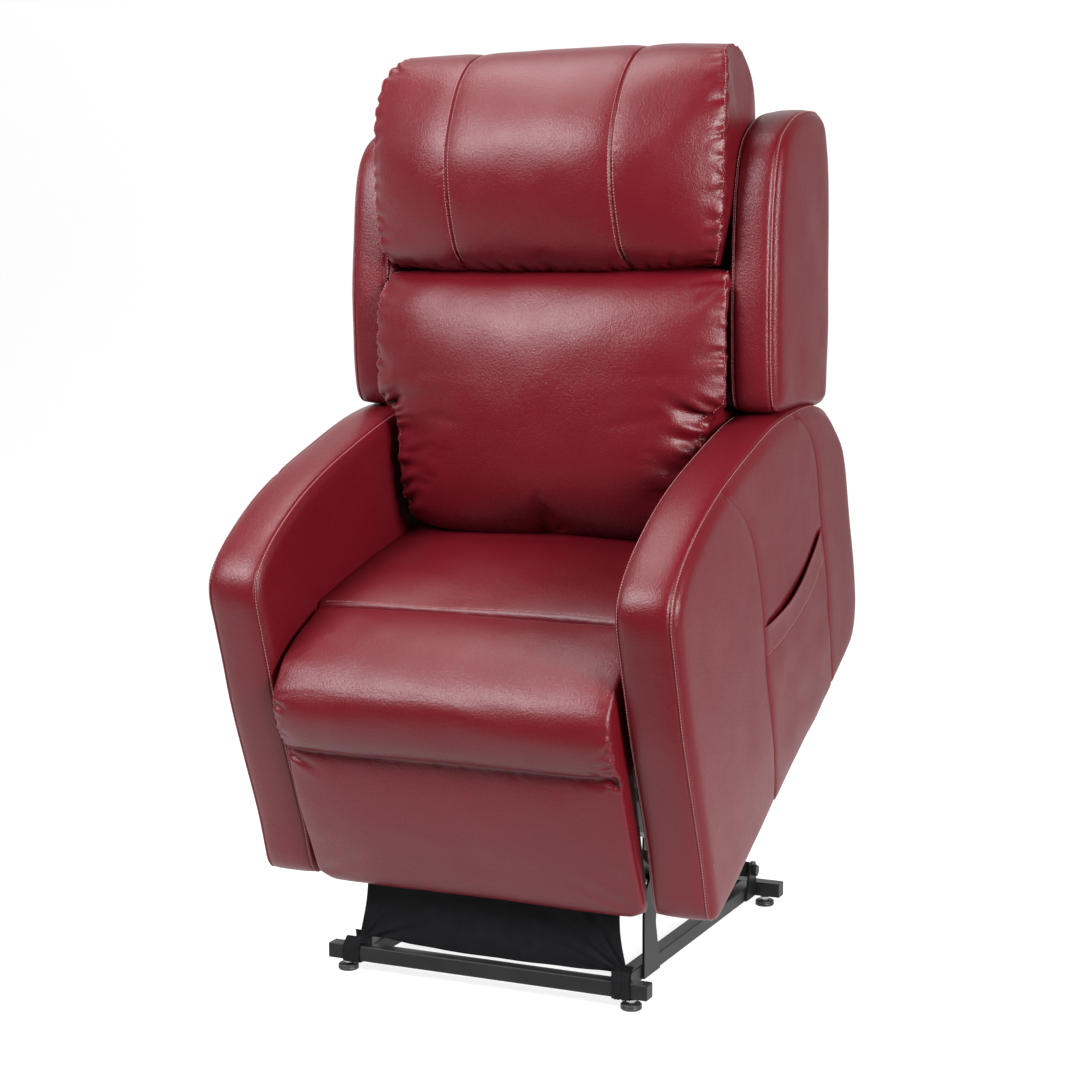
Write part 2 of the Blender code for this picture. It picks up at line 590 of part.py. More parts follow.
def build():
    clear_scene()
    vinyl = material("crimson vinyl", (0.200, 0.022, 0.031), 0.38)
    steel = material("black painted steel", (0.012, 0.012, 0.013), 0.42)
    zinc = material("zinc-plated steel", (0.45, 0.45, 0.47), 0.35, 1.0)
    wire = material("spring steel", (0.30, 0.30, 0.31), 0.40, 1.0)
    wood = material("plywood", (0.42, 0.28, 0.15), 0.70)
    plastic = material("black plastic", (0.010, 0.010, 0.011), 0.50)
    cloth = material("black cloth", (0.008, 0.008, 0.009), 0.90)
    chair = pivot("chair", None, -FEET_TO_MIDDLE, 0.0)
    base_bars(chair, steel)
    base_rails(chair, steel)
    base_plates(chair, steel)
    pivot_bolts(chair, steel)
    levelling_feet(chair, plastic)
    base_skirt(chair, cloth)
    lift_arms(chair, steel)
    front_links(chair, steel)
    lift_actuator(chair, plastic, zinc)
    chassis = pivot("chassis", chair, CHASSIS_Y, CHASSIS_Z, CHASSIS_TILT)
    lift_brackets(chassis, steel)
    cross_tubes(chassis, steel)
    mechanism_plates(chassis, steel)
    seat_frame(chassis, wood)
    seat_springs(chassis, wire)
    seat_cushions(chassis, vinyl)
    arms(chassis, vinyl)
    control_box(chassis, plastic)
    footrest(chassis, (vinyl, wood, steel))
    leg_links(chassis, steel)
    recline_actuator(chassis, plastic, zinc)
    back(chassis, (vinyl, wood))


build()
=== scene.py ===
"""Lift recliner chair: the upholstery, stitching, finishes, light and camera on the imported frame."""

import math

import bmesh
import bpy
import numpy as np
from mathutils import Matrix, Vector
from mathutils.bvhtree import BVHTree
from mathutils.geometry import delaunay_2d_cdt


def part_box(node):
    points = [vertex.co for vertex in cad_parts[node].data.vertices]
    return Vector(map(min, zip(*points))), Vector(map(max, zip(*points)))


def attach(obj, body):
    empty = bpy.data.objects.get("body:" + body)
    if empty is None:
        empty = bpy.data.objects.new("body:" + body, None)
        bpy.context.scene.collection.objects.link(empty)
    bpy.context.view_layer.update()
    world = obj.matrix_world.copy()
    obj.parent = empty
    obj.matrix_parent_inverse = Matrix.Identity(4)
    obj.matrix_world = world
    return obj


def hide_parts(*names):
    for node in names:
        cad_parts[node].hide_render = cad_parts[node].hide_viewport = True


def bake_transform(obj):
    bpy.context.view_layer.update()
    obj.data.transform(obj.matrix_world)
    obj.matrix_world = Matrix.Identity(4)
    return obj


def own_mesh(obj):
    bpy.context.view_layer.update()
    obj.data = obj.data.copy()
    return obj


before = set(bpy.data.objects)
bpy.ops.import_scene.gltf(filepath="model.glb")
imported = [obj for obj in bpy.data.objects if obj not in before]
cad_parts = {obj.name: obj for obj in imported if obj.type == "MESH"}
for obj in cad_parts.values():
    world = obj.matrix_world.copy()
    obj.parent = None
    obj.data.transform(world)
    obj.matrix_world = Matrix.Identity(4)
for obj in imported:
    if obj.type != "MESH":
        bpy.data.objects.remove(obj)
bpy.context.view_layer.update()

# The chassis frame and the back's frame, as in the CAD: an origin in Y and Z, and a turn about X.
CHASSIS_ORIGIN = np.array([-0.28596, 0.155])
CHASSIS_TILT = 25.7
BACK_ORIGIN = np.array([0.680, 0.250])
BACK_LEAN = -24.0
SIDES = (("left", 1.0), ("right", -1.0))

VINYL = (0.100, 0.0034, 0.0077)
THREAD = (0.34, 0.15, 0.14)


def turn(degrees):
    a = math.radians(degrees)
    return np.array([[math.cos(a), -math.sin(a)], [math.sin(a), math.cos(a)]])


def from_chassis(points):
    """Points (x, y, z) of the chassis frame, in the row frame."""
    points = np.asarray(points, float)
    flat = points[..., 1:] @ turn(CHASSIS_TILT).T + CHASSIS_ORIGIN
    return np.concatenate([points[..., :1], flat], axis=-1)


def from_back(points):
    """Points (x, y, z) of the back's frame, in the row frame."""
    points = np.asarray(points, float)
    flat = points[..., 1:] @ turn(BACK_LEAN).T + BACK_ORIGIN
    return from_chassis(np.concatenate([points[..., :1], flat], axis=-1))


def smoothstep(low, high, value):
    t = np.clip((np.asarray(value, float) - low) / (high - low), 0.0, 1.0)
    return t * t * (3.0 - 2.0 * t)


def spline(points, per_span=12, closed=False):
    """A centripetal Catmull-Rom curve through the points, with the same count of samples in each span."""
    p = np.asarray(points, float)
    if closed:
        p = np.concatenate([p[-1:], p, p[:2]])
    else:
        p = np.concatenate([2 * p[:1] - p[1:2], p, 2 * p[-1:] - p[-2:-1]])
    out = []
    share = np.linspace(0.0, 1.0, per_span, endpoint=False)[:, None]
    for i in range(1, len(p) - 2):
        a, b, c, d = p[i - 1 : i + 3]
        t1 = max(np.linalg.norm(b - a), 1e-9) ** 0.5
        t2 = t1 + max(np.linalg.norm(c - b), 1e-9) ** 0.5
        t3 = t2 + max(np.linalg.norm(d - c), 1e-9) ** 0.5
        t = t1 + share * (t2 - t1)
        ab = a + (b - a) * t / t1
        bc = b + (c - b) * (t - t1) / (t2 - t1)
        cd = c + (d - c) * (t - t2) / (t3 - t2)
        abc = ab + (bc - ab) * t / t2
        bcd = bc + (cd - bc) * (t - t1) / (t3 - t1)
        out.append(abc + (bcd - abc) * (t - t1) / (t2 - t1))
    out = np.concatenate(out)
    return out if closed else np.concatenate([out, p[-2:-1]])


def looped(points):
    """The points with the first one again at the end."""
    return np.concatenate([points, points[:1]])


def sampled(points, at, marks=None):
    """The polyline's points at these places; marks holds its own points' places, or they are counted."""
    marks = np.arange(len(points)) if marks is None else marks
    return np.stack([np.interp(at, marks, axis) for axis in points.T], axis=-1)


def even(points, step, closed=False):
    """The polyline resampled at even steps of about this length."""
    p = np.asarray(points, float)
    if closed:
        p = looped(p)
    lengths = np.concatenate([[0.0], np.cumsum(np.linalg.norm(np.diff(p, axis=0), axis=1))])
    count = max(2, int(round(lengths[-1] / step)))
    at = np.linspace(0.0, lengths[-1], count + 1)
    out = sampled(p, at, lengths)
    return out[:-1] if closed else out


def outward(loop):
    """Unit normals of a closed polyline in the plane, pointing out of it."""
    along = np.roll(loop, -1, axis=0) - np.roll(loop, 1, axis=0)
    normal = np.stack([along[:, 1], -along[:, 0]], axis=1)
    normal /= np.maximum(np.linalg.norm(normal, axis=1, keepdims=True), 1e-12)
    area = np.sum(loop[:, 0] * np.roll(loop[:, 1], -1) - np.roll(loop[:, 0], -1) * loop[:, 1])
    return normal if area > 0 else -normal


def gap_to(points, line):
    """Each point's distance to a polyline in the plane, and which side it is on."""
    a, b = line[:-1], line[1:]
    best = np.full(len(points), 1e9)
    side = np.ones(len(points))
    for start, end in zip(a, b):
        d = end - start
        t = np.clip(((points - start) @ d) / max(d @ d, 1e-12), 0.0, 1.0)
        off = points - (start + t[:, None] * d)
        r = np.hypot(off[:, 0], off[:, 1])
        cross = d[0] * off[:, 1] - d[1] * off[:, 0]
        nearer = r < best
        best = np.where(nearer, r, best)
        side = np.where(nearer, np.sign(cross), side)
    return best, side


def inside(points, loop):
    """Whether each point is inside the closed polyline."""
    x, y = points[:, 0], points[:, 1]
    found = np.zeros(len(points), bool)
    following = np.roll(loop, -1, axis=0)
    for (ax, ay), (bx, by) in zip(loop, following):
        if ay == by:
            continue
        crosses = (ay > y) != (by > y)
        found ^= crosses & (x < (bx - ax) * (y - ay) / (by - ay) + ax)
    return found


def thinned(candidates, spacing, kept):
    """The candidates that are no nearer than spacing to those kept or to each other."""
    cells = {}

    def key(p):
        return (int(math.floor(p[0] / spacing)), int(math.floor(p[1] / spacing)))

    for p in kept:
        cells.setdefault(key(p), []).append(p)
    fresh = []
    for p in candidates:
        cx, cy = key(p)
        around = [(cx + dx, cy + dy) for dx in (-1, 0, 1) for dy in (-1, 0, 1)]
        near = (q for cell in around for q in cells.get(cell, ()))
        if all((p[0] - q[0]) ** 2 + (p[1] - q[1]) ** 2 >= spacing * spacing for q in near):
            cells.setdefault((cx, cy), []).append(p)
            fresh.append(p)
    return np.array(fresh).reshape(-1, 2)


def waves(seed, scale):
    """A smooth random field of points, about -1 to 1, with features of about this size in metres."""
    count = 9
    rng = np.random.default_rng(seed)
    directions = rng.normal(size=(count, 3))
    directions /= np.linalg.norm(directions, axis=1, keepdims=True)
    directions *= (2 * math.pi / scale) * rng.uniform(0.6, 1.5, (count, 1))
    phases = rng.uniform(0, 2 * math.pi, count)

    def field(points):
        return np.sin(points @ directions.T + phases).sum(axis=1) / math.sqrt(count)

    return field


def make_object(name, points, faces, look):
    mesh = bpy.data.meshes.new(name)
    mesh.from_pydata([tuple(map(float, p)) for p in points], [], [tuple(map(int, f)) for f in faces])
    mesh.validate()
    bm = bmesh.new()
    bm.from_mesh(mesh)
    bmesh.ops.recalc_face_normals(bm, faces=bm.faces)
    bm.to_mesh(mesh)
    bm.free()
    mesh.polygons.foreach_set("use_smooth", [True] * len(mesh.polygons))
    mesh.materials.append(look)
    obj = bpy.data.objects.new(name, mesh)
    bpy.context.scene.collection.objects.link(obj)
    return obj


def coordinates(obj):
    co = np.empty(len(obj.data.vertices) * 3)
    obj.data.vertices.foreach_get("co", co)
    return co.reshape(-1, 3)


def set_coordinates(obj, co):
    obj.data.vertices.foreach_set("co", np.ascontiguousarray(co, float).ravel())
    obj.data.update()


def normals(obj):
    found = np.empty(len(obj.data.vertices) * 3)
    obj.data.vertex_normals.foreach_get("vector", found)
    return found.reshape(-1, 3)


def subdivide(obj):
    """Puts a subdivided surface in place of the object's mesh."""
    modifier = obj.modifiers.new("Subdivision", "SUBSURF")
    modifier.levels = 1
    graph = bpy.context.evaluated_depsgraph_get()
    done = bpy.data.meshes.new_from_object(obj.evaluated_get(graph))
    obj.modifiers.clear()
    old = obj.data
    obj.data = done
    done.name = old.name
    bpy.data.meshes.remove(old)


class Nodes:
    """A short way to write a node tree."""

    def __init__(self, name):
        self.material = bpy.data.materials.new(name)
        self.material.use_nodes = True
        self.tree = self.material.node_tree
        self.shader = self.tree.nodes["Principled BSDF"]
        self.place = self.node("ShaderNodeTexCoord").outputs["Object"]

    def node(self, kind, **settings):
        made = self.tree.nodes.new(kind)
        for key, value in settings.items():
            setattr(made, key, value)
        return made

    def join(self, source, target):
        self.tree.links.new(source, target)

    def stretched(self, scale):
        made = self.node("ShaderNodeMapping")
        made.inputs["Scale"].default_value = scale
        self.join(self.place, made.inputs["Vector"])
        return made.outputs["Vector"]

    def noise(self, scale, detail=3.0, place=None, rough=0.5):
        made = self.node("ShaderNodeTexNoise")
        made.inputs["Scale"].default_value = scale
        made.inputs["Detail"].default_value = detail
        made.inputs["Roughness"].default_value = rough
        self.join(place or self.place, made.inputs["Vector"])
        return made.outputs["Fac"]

    def cells(self, scale):
        made = self.node("ShaderNodeTexVoronoi", feature="SMOOTH_F1")
        made.inputs["Scale"].default_value = scale
        self.join(self.place, made.inputs["Vector"])
        return made.outputs["Distance"]

    def ramp(self, value, stops):
        made = self.node("ShaderNodeValToRGB")
        ramp = made.color_ramp
        while len(ramp.elements) < len(stops):
            ramp.elements.new(0.5)
        for element, (position, colour) in zip(ramp.elements, stops):
            element.position = position
            element.color = (*colour, 1.0)
        self.join(value, made.inputs["Fac"])
        return made.outputs["Color"]

    def span(self, value, low, high, source=(0.0, 1.0)):
        made = self.node("ShaderNodeMapRange")
        made.inputs["From Min"].default_value, made.inputs["From Max"].default_value = source
        made.inputs["To Min"].default_value, made.inputs["To Max"].default_value = low, high
        self.join(value, made.inputs["Value"])
        return made.outputs["Result"]

    def along(self, direction):
        made = self.node("ShaderNodeVectorMath", operation="DOT_PRODUCT")
        made.inputs[1].default_value = direction
        self.join(self.place, made.inputs[0])
        return made.outputs["Value"]

    def product(self, first, second):
        made = self.node("ShaderNodeMath", operation="MULTIPLY")
        self.join(first, made.inputs[0])
        self.join(second, made.inputs[1])
        return made.outputs["Value"]

    def bump(self, height, distance, strength=1.0, after=None):
        made = self.node("ShaderNodeBump")
        made.inputs["Distance"].default_value = distance
        made.inputs["Strength"].default_value = strength
        self.join(height, made.inputs["Height"])
        if after is not None:
            self.join(after, made.inputs["Normal"])
        return made.outputs["Normal"]

    def constant(self, **values):
        for key, value in values.items():
            self.shader.inputs[key.replace("_", " ")].default_value = value

    def finish(self, colour=None, roughness=None, normal=None):
        for output, socket in ((colour, "Base Color"), (roughness, "Roughness"), (normal, "Normal")):
            if output is not None:
                self.join(output, self.shader.inputs[socket])
        return self.material


def shade(colour, factor):
    return tuple(c * factor for c in colour)


def vinyl_material():
    """Semi-gloss crimson vinyl with a pebbled grain and soft wear."""
    n = Nodes("crimson vinyl")
    patches = n.noise(5.0, 3.0)
    rough = n.noise(16.0, 4.0)
    colour = n.ramp(patches, [(0.30, shade(VINYL, 0.96)), (0.70, shade(VINYL, 1.04))])
    fine = n.bump(n.cells(850.0), 0.00030, 0.80)
    crinkle = n.bump(n.noise(300.0, 3.0), 0.0011, 0.45, fine)
    soft = n.bump(n.noise(95.0, 3.0), 0.0014, 0.22, crinkle)
    n.constant(IOR=1.385)
    return n.finish(colour, n.span(rough, 0.315, 0.385, (0.3, 0.7)), soft)


def thread_material():
    """Pale pink sewing thread with its twist."""
    n = Nodes("stitching thread")
    twist = n.noise(1500.0, 2.0)
    colour = n.ramp(n.noise(300.0), [(0.3, shade(THREAD, 0.75)), (0.7, shade(THREAD, 1.1))])
    return n.finish(colour, n.span(twist, 0.55, 0.80), n.bump(twist, 0.0002, 0.5))


def steel_material():
    """Black satin powder coat, with its orange-peel and a little dust."""
    n = Nodes("black painted steel")
    dust = n.noise(14.0, 5.0)
    colour = n.ramp(dust, [(0.35, (0.006, 0.006, 0.0065)), (0.75, (0.012, 0.012, 0.0125))])
    n.constant(IOR=1.28)
    return n.finish(colour, n.span(dust, 0.30, 0.48), n.bump(n.noise(420.0, 2.0), 0.0003, 0.30))


def zinc_material():
    n = Nodes("zinc plating")
    cloud = n.noise(90.0, 4.0)
    n.constant(Metallic=1.0)
    colour = n.ramp(cloud, [(0.3, (0.42, 0.42, 0.44)), (0.7, (0.58, 0.58, 0.60))])
    return n.finish(colour, n.span(cloud, 0.26, 0.44), n.bump(n.noise(700.0), 0.0002, 0.3))


def spring_material():
    n = Nodes("spring steel")
    cloud = n.noise(60.0, 4.0)
    n.constant(Metallic=1.0)
    colour = n.ramp(cloud, [(0.3, (0.20, 0.20, 0.21)), (0.7, (0.34, 0.33, 0.32))])
    return n.finish(colour, n.span(cloud, 0.35, 0.50), n.bump(n.noise(500.0), 0.0002, 0.3))


def plywood_material():
    n = Nodes("plywood")
    grain = n.noise(9.0, 6.0, n.stretched((14.0, 1.5, 14.0)), 0.6)
    stops = [(0.25, (0.30, 0.18, 0.09)), (0.55, (0.44, 0.29, 0.16)), (0.8, (0.52, 0.36, 0.21))]
    colour = n.ramp(grain, stops)
    return n.finish(colour, n.span(grain, 0.60, 0.78), n.bump(grain, 0.0006, 0.5))


def plastic_material():
    n = Nodes("black plastic")
    grain = n.noise(850.0, 2.0)
    colour = n.ramp(n.noise(20.0), [(0.3, (0.010, 0.010, 0.011)), (0.7, (0.016, 0.016, 0.017))])
    return n.finish(colour, n.span(grain, 0.40, 0.55), n.bump(grain, 0.0002, 0.35))


def cloth_material():
    """Plain woven black cloth with a little lint."""
    n = Nodes("black cloth")
    threads_per_metre = 1300.0 / 6.283
    across = n.node("ShaderNodeTexWave", bands_direction="X")
    along = n.node("ShaderNodeTexWave", bands_direction="Z")
    for wave in (across, along):
        wave.inputs["Scale"].default_value = threads_per_metre
        wave.inputs["Distortion"].default_value = 0.6
        n.join(n.place, wave.inputs["Vector"])
    both = n.node("ShaderNodeMath", operation="MAXIMUM")
    n.join(across.outputs["Fac"], both.inputs[0])
    n.join(along.outputs["Fac"], both.inputs[1])
    lint = n.noise(45.0, 5.0)
    colour = n.ramp(lint, [(0.3, (0.0035, 0.0035, 0.0045)), (0.75, (0.0070, 0.0070, 0.0080))])
    n.constant(IOR=1.22, Sheen_Weight=0.02, Sheen_Roughness=0.5)
    return n.finish(colour, n.span(lint, 0.80, 0.95), n.bump(both.outputs["Value"], 0.0003, 0.5))


def floor_material():
    """White behind and beside the chair, and darker in front of it and far out to its left."""
    n = Nodes("pale floor")
    away_from_camera = n.along((-0.413, 0.911, 0.0))
    out_to_left = n.along((0.982, 0.187, 0.0))
    near = n.span(away_from_camera, 0.0, 1.0, (-1.17, -0.72))
    side = n.span(out_to_left, 0.40, 1.0, (1.57, 0.97))
    cloud = n.noise(0.8, 2.0)
    colour = n.ramp(near, [(0.0, (0.04, 0.04, 0.04)), (1.0, (0.34, 0.34, 0.34))])
    n.constant(Emission_Color=(1.0, 1.0, 1.0, 1.0))
    glow = n.product(n.product(n.span(near, 0.02, 0.83), side), n.span(cloud, 0.99, 1.01))
    n.join(glow, n.shader.inputs["Emission Strength"])
    return n.finish(colour, n.span(cloud, 0.85, 0.95))


LOOKS = {
    "vinyl": vinyl_material(),
    "thread": thread_material(),
    "painted_steel": steel_material(),
    "zinc": zinc_material(),
    "spring": spring_material(),
    "plywood": plywood_material(),
    "black_plastic": plastic_material(),
    "black_cloth": cloth_material(),
}


# ---------------------------------------------------------------- boxed forms: arms and wings

ARM_OUTLINE = (
    (0.0085, 0.040), (0.019, 0.114), (0.027, 0.227), (0.035, 0.336), (0.046, 0.412), (0.054, 0.467),
    (0.063, 0.518), (0.081, 0.544), (0.132, 0.567), (0.223, 0.583), (0.320, 0.585), (0.453, 0.573),
    (0.583, 0.553), (0.674, 0.527), (0.740, 0.502), (0.785, 0.480), (0.832, 0.443), (0.864, 0.396),
    (0.881, 0.358), (0.885, 0.319), (0.873, 0.213), (0.863, 0.119), (0.843, 0.045), (0.808, 0.006),
    (0.751, -0.006), (0.400, -0.003), (0.050, -0.003), (0.024, -0.001), (0.010, 0.008), (0.0065, 0.022),
)
FRONT_SEAM = (
    (0.322, 0.588), (0.367, 0.525), (0.390, 0.471), (0.393, 0.401), (0.388, 0.336), (0.371, 0.252),
    (0.354, 0.145), (0.335, 0.055), (0.309, -0.018),
)
REAR_SEAM = (
    (0.674, 0.530), (0.722, 0.462), (0.731, 0.393), (0.715, 0.315), (0.703, 0.204), (0.685, 0.110),
    (0.663, -0.018),
)
MOUTH = ((0.379, 0.303), (0.430, 0.289), (0.490, 0.278), (0.550, 0.2735), (0.623, 0.277), (0.713, 0.294))
HEM = (
    (0.374, 0.253), (0.430, 0.240), (0.497, 0.229), (0.560, 0.224), (0.614, 0.223), (0.660, 0.229),
    (0.701, 0.241),
)
WING_OUTLINE = (
    (-0.184, 0.274), (-0.194, 0.318), (-0.197, 0.400), (-0.196, 0.470), (-0.190, 0.550), (-0.182, 0.610),
    (-0.172, 0.655), (-0.159, 0.686), (-0.142, 0.706), (-0.122, 0.719), (-0.069, 0.740), (0.013, 0.750),
    (0.045, 0.746), (0.062, 0.730), (0.072, 0.700), (0.083, 0.640), (0.086, 0.488), (0.081, 0.330),
    (0.073, 0.272), (0.060, 0.262), (-0.060, 0.264), (-0.168, 0.267),
)
ARM_X = (0.300, 0.400)
WING_X = (0.3105, 0.390)


def hexagons(low, high, step):
    """Points in staggered rows over a rectangle."""
    rows = []
    y, odd = low[1], False
    while y < high[1]:
        xs = np.arange(low[0] + (step / 2 if odd else 0.0), high[0], step)
        rows.append(np.stack([xs, np.full(len(xs), y)], axis=1))
        y, odd = y + step * 0.866, not odd
    return np.concatenate(rows)


def face_points(loop, seams, step, patches=()):
    """Points inside the loop: dense along it and along the seams, and sparser between."""
    normal = outward(loop)
    kept = loop.copy()
    added = np.zeros((0, 2))
    batches = [(loop - normal * d, 0.75 * d) for d in (0.0016, 0.0034, 0.0058, 0.0095)]
    for seam in seams:
        along = np.gradient(seam, axis=0)
        along /= np.linalg.norm(along, axis=1, keepdims=True)
        side = np.stack([along[:, 1], -along[:, 0]], axis=1)
        for d in (0.0, 0.0016, -0.0016, 0.0034, -0.0034, 0.006, -0.006):
            batches.append((seam + side * d, 0.0013))
    for low, high, fine in patches:
        batches.append((hexagons(low, high, fine), fine * 0.7))
    batches.append((hexagons(loop.min(0), loop.max(0), step), step * 0.62))
    closed = looped(loop)
    for candidates, spacing in batches:
        candidates = candidates[inside(candidates, loop)]
        gap, _ = gap_to(candidates, closed)
        candidates = candidates[gap > 0.0011]
        fresh = thinned(candidates, spacing, np.concatenate([kept, added]))
        added = np.concatenate([added, fresh])
    return added


def filled(loop, extra):
    """Triangles over the loop and the extra points inside it; indices count the loop first."""
    points = [Vector(p) for p in np.concatenate([loop, extra])]
    count = len(loop)
    edges = [(i, (i + 1) % count) for i in range(count)]
    made = delaunay_2d_cdt(points, edges, [], 1, 1e-7)
    origin = [o[0] if o else -1 for o in made[3]]
    return [tuple(origin[i] for i in face) for face in made[2] if all(origin[i] >= 0 for i in face)]


# Distances from the seam in millimetres, across half of a band 100 mm wide.
BAND_STEPS = (
    0.0, 0.7, 1.5, 2.6, 4.0, 5.2, 6.2, 7.0, 7.8, 9.0, 11.0, 14.0, 17.5, 22.0, 27.0, 32.5, 38.0, 44.0, 50.0,
)


def boxed_form(name, loop, spans, lift, outer_x, inner_x, extra, place, sign, look):
    """A closed form: a band that bulges round the loop, between an outer and an inner face."""
    normal = outward(loop)
    count = len(loop)
    x0, x1 = outer_x(loop), inner_x(loop)
    half = np.array(BAND_STEPS) / (2 * BAND_STEPS[-1])
    share = np.concatenate([half, 1.0 - half[-2::-1]])
    rows = len(share) - 1
    points, faces = [], []
    for t in share:
        rise = (1.0 - abs(2.0 * t - 1.0) ** 2.8) ** 0.62
        from_seam = min(t, 1.0 - t) * abs(spans[1] - spans[0])
        # A raised edge 7 mm wide, then the groove that its stitching pulls in.
        welt = 0.0011 * float(smoothstep(0.0008, 0.0025, from_seam))
        welt *= math.exp(-((from_seam / 0.0062) ** 6))
        welt -= 0.0015 * math.exp(-(((from_seam - 0.0070) / 0.0013) ** 2))
        flat = loop + normal * (lift * rise + welt * np.clip(lift / 0.006, 0, 1))[:, None]
        x = x0 + (x1 - x0) * t
        points.append(np.concatenate([x[:, None], flat], axis=1))
    for j in range(rows):
        for i in range(count):
            k = (i + 1) % count
            a, b = j * count, (j + 1) * count
            faces.append((a + i, a + k, b + k, b + i))
    total = count * (rows + 1)
    for start, xs, more in ((0, outer_x, extra[0]), (rows * count, inner_x, extra[1])):
        for face in filled(loop, more):
            faces.append(tuple(start + i if i < count else total + i - count for i in face))
        points.append(np.concatenate([xs(more)[:, None], more], axis=1))
        total += len(more)
    points = np.concatenate(points)
    points[:, 0] *= sign
    return make_object(name, place(points), faces, look)


def layer_faces(rows, columns):
    """The faces that close two layers, each of rows by columns points, into one thin sheet."""
    total = rows * columns
    faces = []
    for j in range(rows - 1):
        for i in range(columns - 1):
            a = j * columns + i
            faces.append((a, a + 1, a + columns + 1, a + columns))
            faces.append((total + a, total + a + columns, total + a + columns + 1, total + a + 1))
    border = list(range(columns))
    border += [j * columns + columns - 1 for j in range(1, rows)]
    border += [(rows - 1) * columns + i for i in range(columns - 2, -1, -1)]
    border += [j * columns for j in range(rows - 2, 0, -1)]
    for i, a in enumerate(border):
        b = border[(i + 1) % len(border)]
        faces.append((a, b, total + b, total + a))
    return faces


def finish_piece(obj, body, node):
    """Makes the piece ride its body, if it is given one, and stand in for its CAD node."""
    if body:
        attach(obj, body)
    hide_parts(node)
    return obj


def arm_lines():
    """The arm's outline, its front and rear seams, and the pocket's mouth, as even polylines."""
    loop = even(spline(ARM_OUTLINE, 14, closed=True), 0.0045, closed=True)
    front = even(spline(FRONT_SEAM, 14), 0.004)
    rear = even(spline(REAR_SEAM, 14), 0.004)
    mouth = even(spline(MOUTH, 14), 0.004)
    return loop, front, rear, mouth


def arm_side(points, loop, front, rear):
    """How far out the arm's outer face stands, without the pocket."""
    gap, _ = gap_to(points, looped(loop))
    x = ARM_X[1] + 0.0022 * (1.0 - np.exp(-gap / 0.050)) + 0.0038 * (1.0 - np.exp(-gap / 0.0065))
    x -= 0.0042 * np.exp(-((gap / 0.0022) ** 2))
    for seam in (front, rear):
        near, _ = gap_to(points, seam)
        x -= 0.0021 * np.exp(-((near / 0.0016) ** 2)) + 0.0016 * np.exp(-((near / 0.010) ** 2))
    return x


def pocket_zone(points, loop, front, rear, mouth):
    """How far each point is inside the pocket's panel, and its height above the mouth."""
    a, side_a = gap_to(points, front)
    b, side_b = gap_to(points, rear)
    edge, _ = gap_to(points, looped(loop))
    between = np.where((side_a > 0) & (side_b < 0), np.minimum(np.minimum(a, b), edge), 0.0)
    m = mouth[np.argsort(mouth[:, 0])]
    above = points[:, 1] - np.interp(points[:, 0], m[:, 0], m[:, 1])
    return between, above


def build_arm(name, sign):
    loop, front, rear, mouth = arm_lines()
    body = waves(5, 0.16)

    def outer(points):
        x = arm_side(points, loop, front, rear)
        between, above = pocket_zone(points, loop, front, rear, mouth)
        under = smoothstep(0.0, -0.006, above)
        near_mouth = smoothstep(0.020, 0.0, above) * np.exp(-np.maximum(-above, 0.0) / 0.06)
        x -= 0.0052 * smoothstep(0.0008, 0.007, between) * under
        x -= 0.0040 * smoothstep(0.002, 0.030, between) * near_mouth
        return x

    def inner(points):
        gap, _ = gap_to(points, looped(loop))
        return ARM_X[0] - 0.0012 * (1.0 - np.exp(-gap / 0.02)) + 0.0026 * np.exp(-((gap / 0.0024) ** 2))

    # The band is fullest over the top and down the front, and nearly flat along the bottom.
    lift = 0.0105 * smoothstep(-0.012, 0.05, loop[:, 1]) + 0.0015
    extra = (
        face_points(loop, (front, rear, mouth), 0.0085, [((0.36, 0.20), (0.73, 0.32), 0.005)]),
        face_points(loop, (), 0.014),
    )
    arm = boxed_form("arm_cover_" + name, loop, ARM_X, lift, outer, inner, extra, from_chassis, sign,
                     LOOKS["vinyl"])
    co, n = coordinates(arm), normals(arm)
    set_coordinates(arm, co + n * (0.0005 * body(co * [sign, 1, 1]))[:, None])
    return finish_piece(arm, "chassis", "arm_" + name)


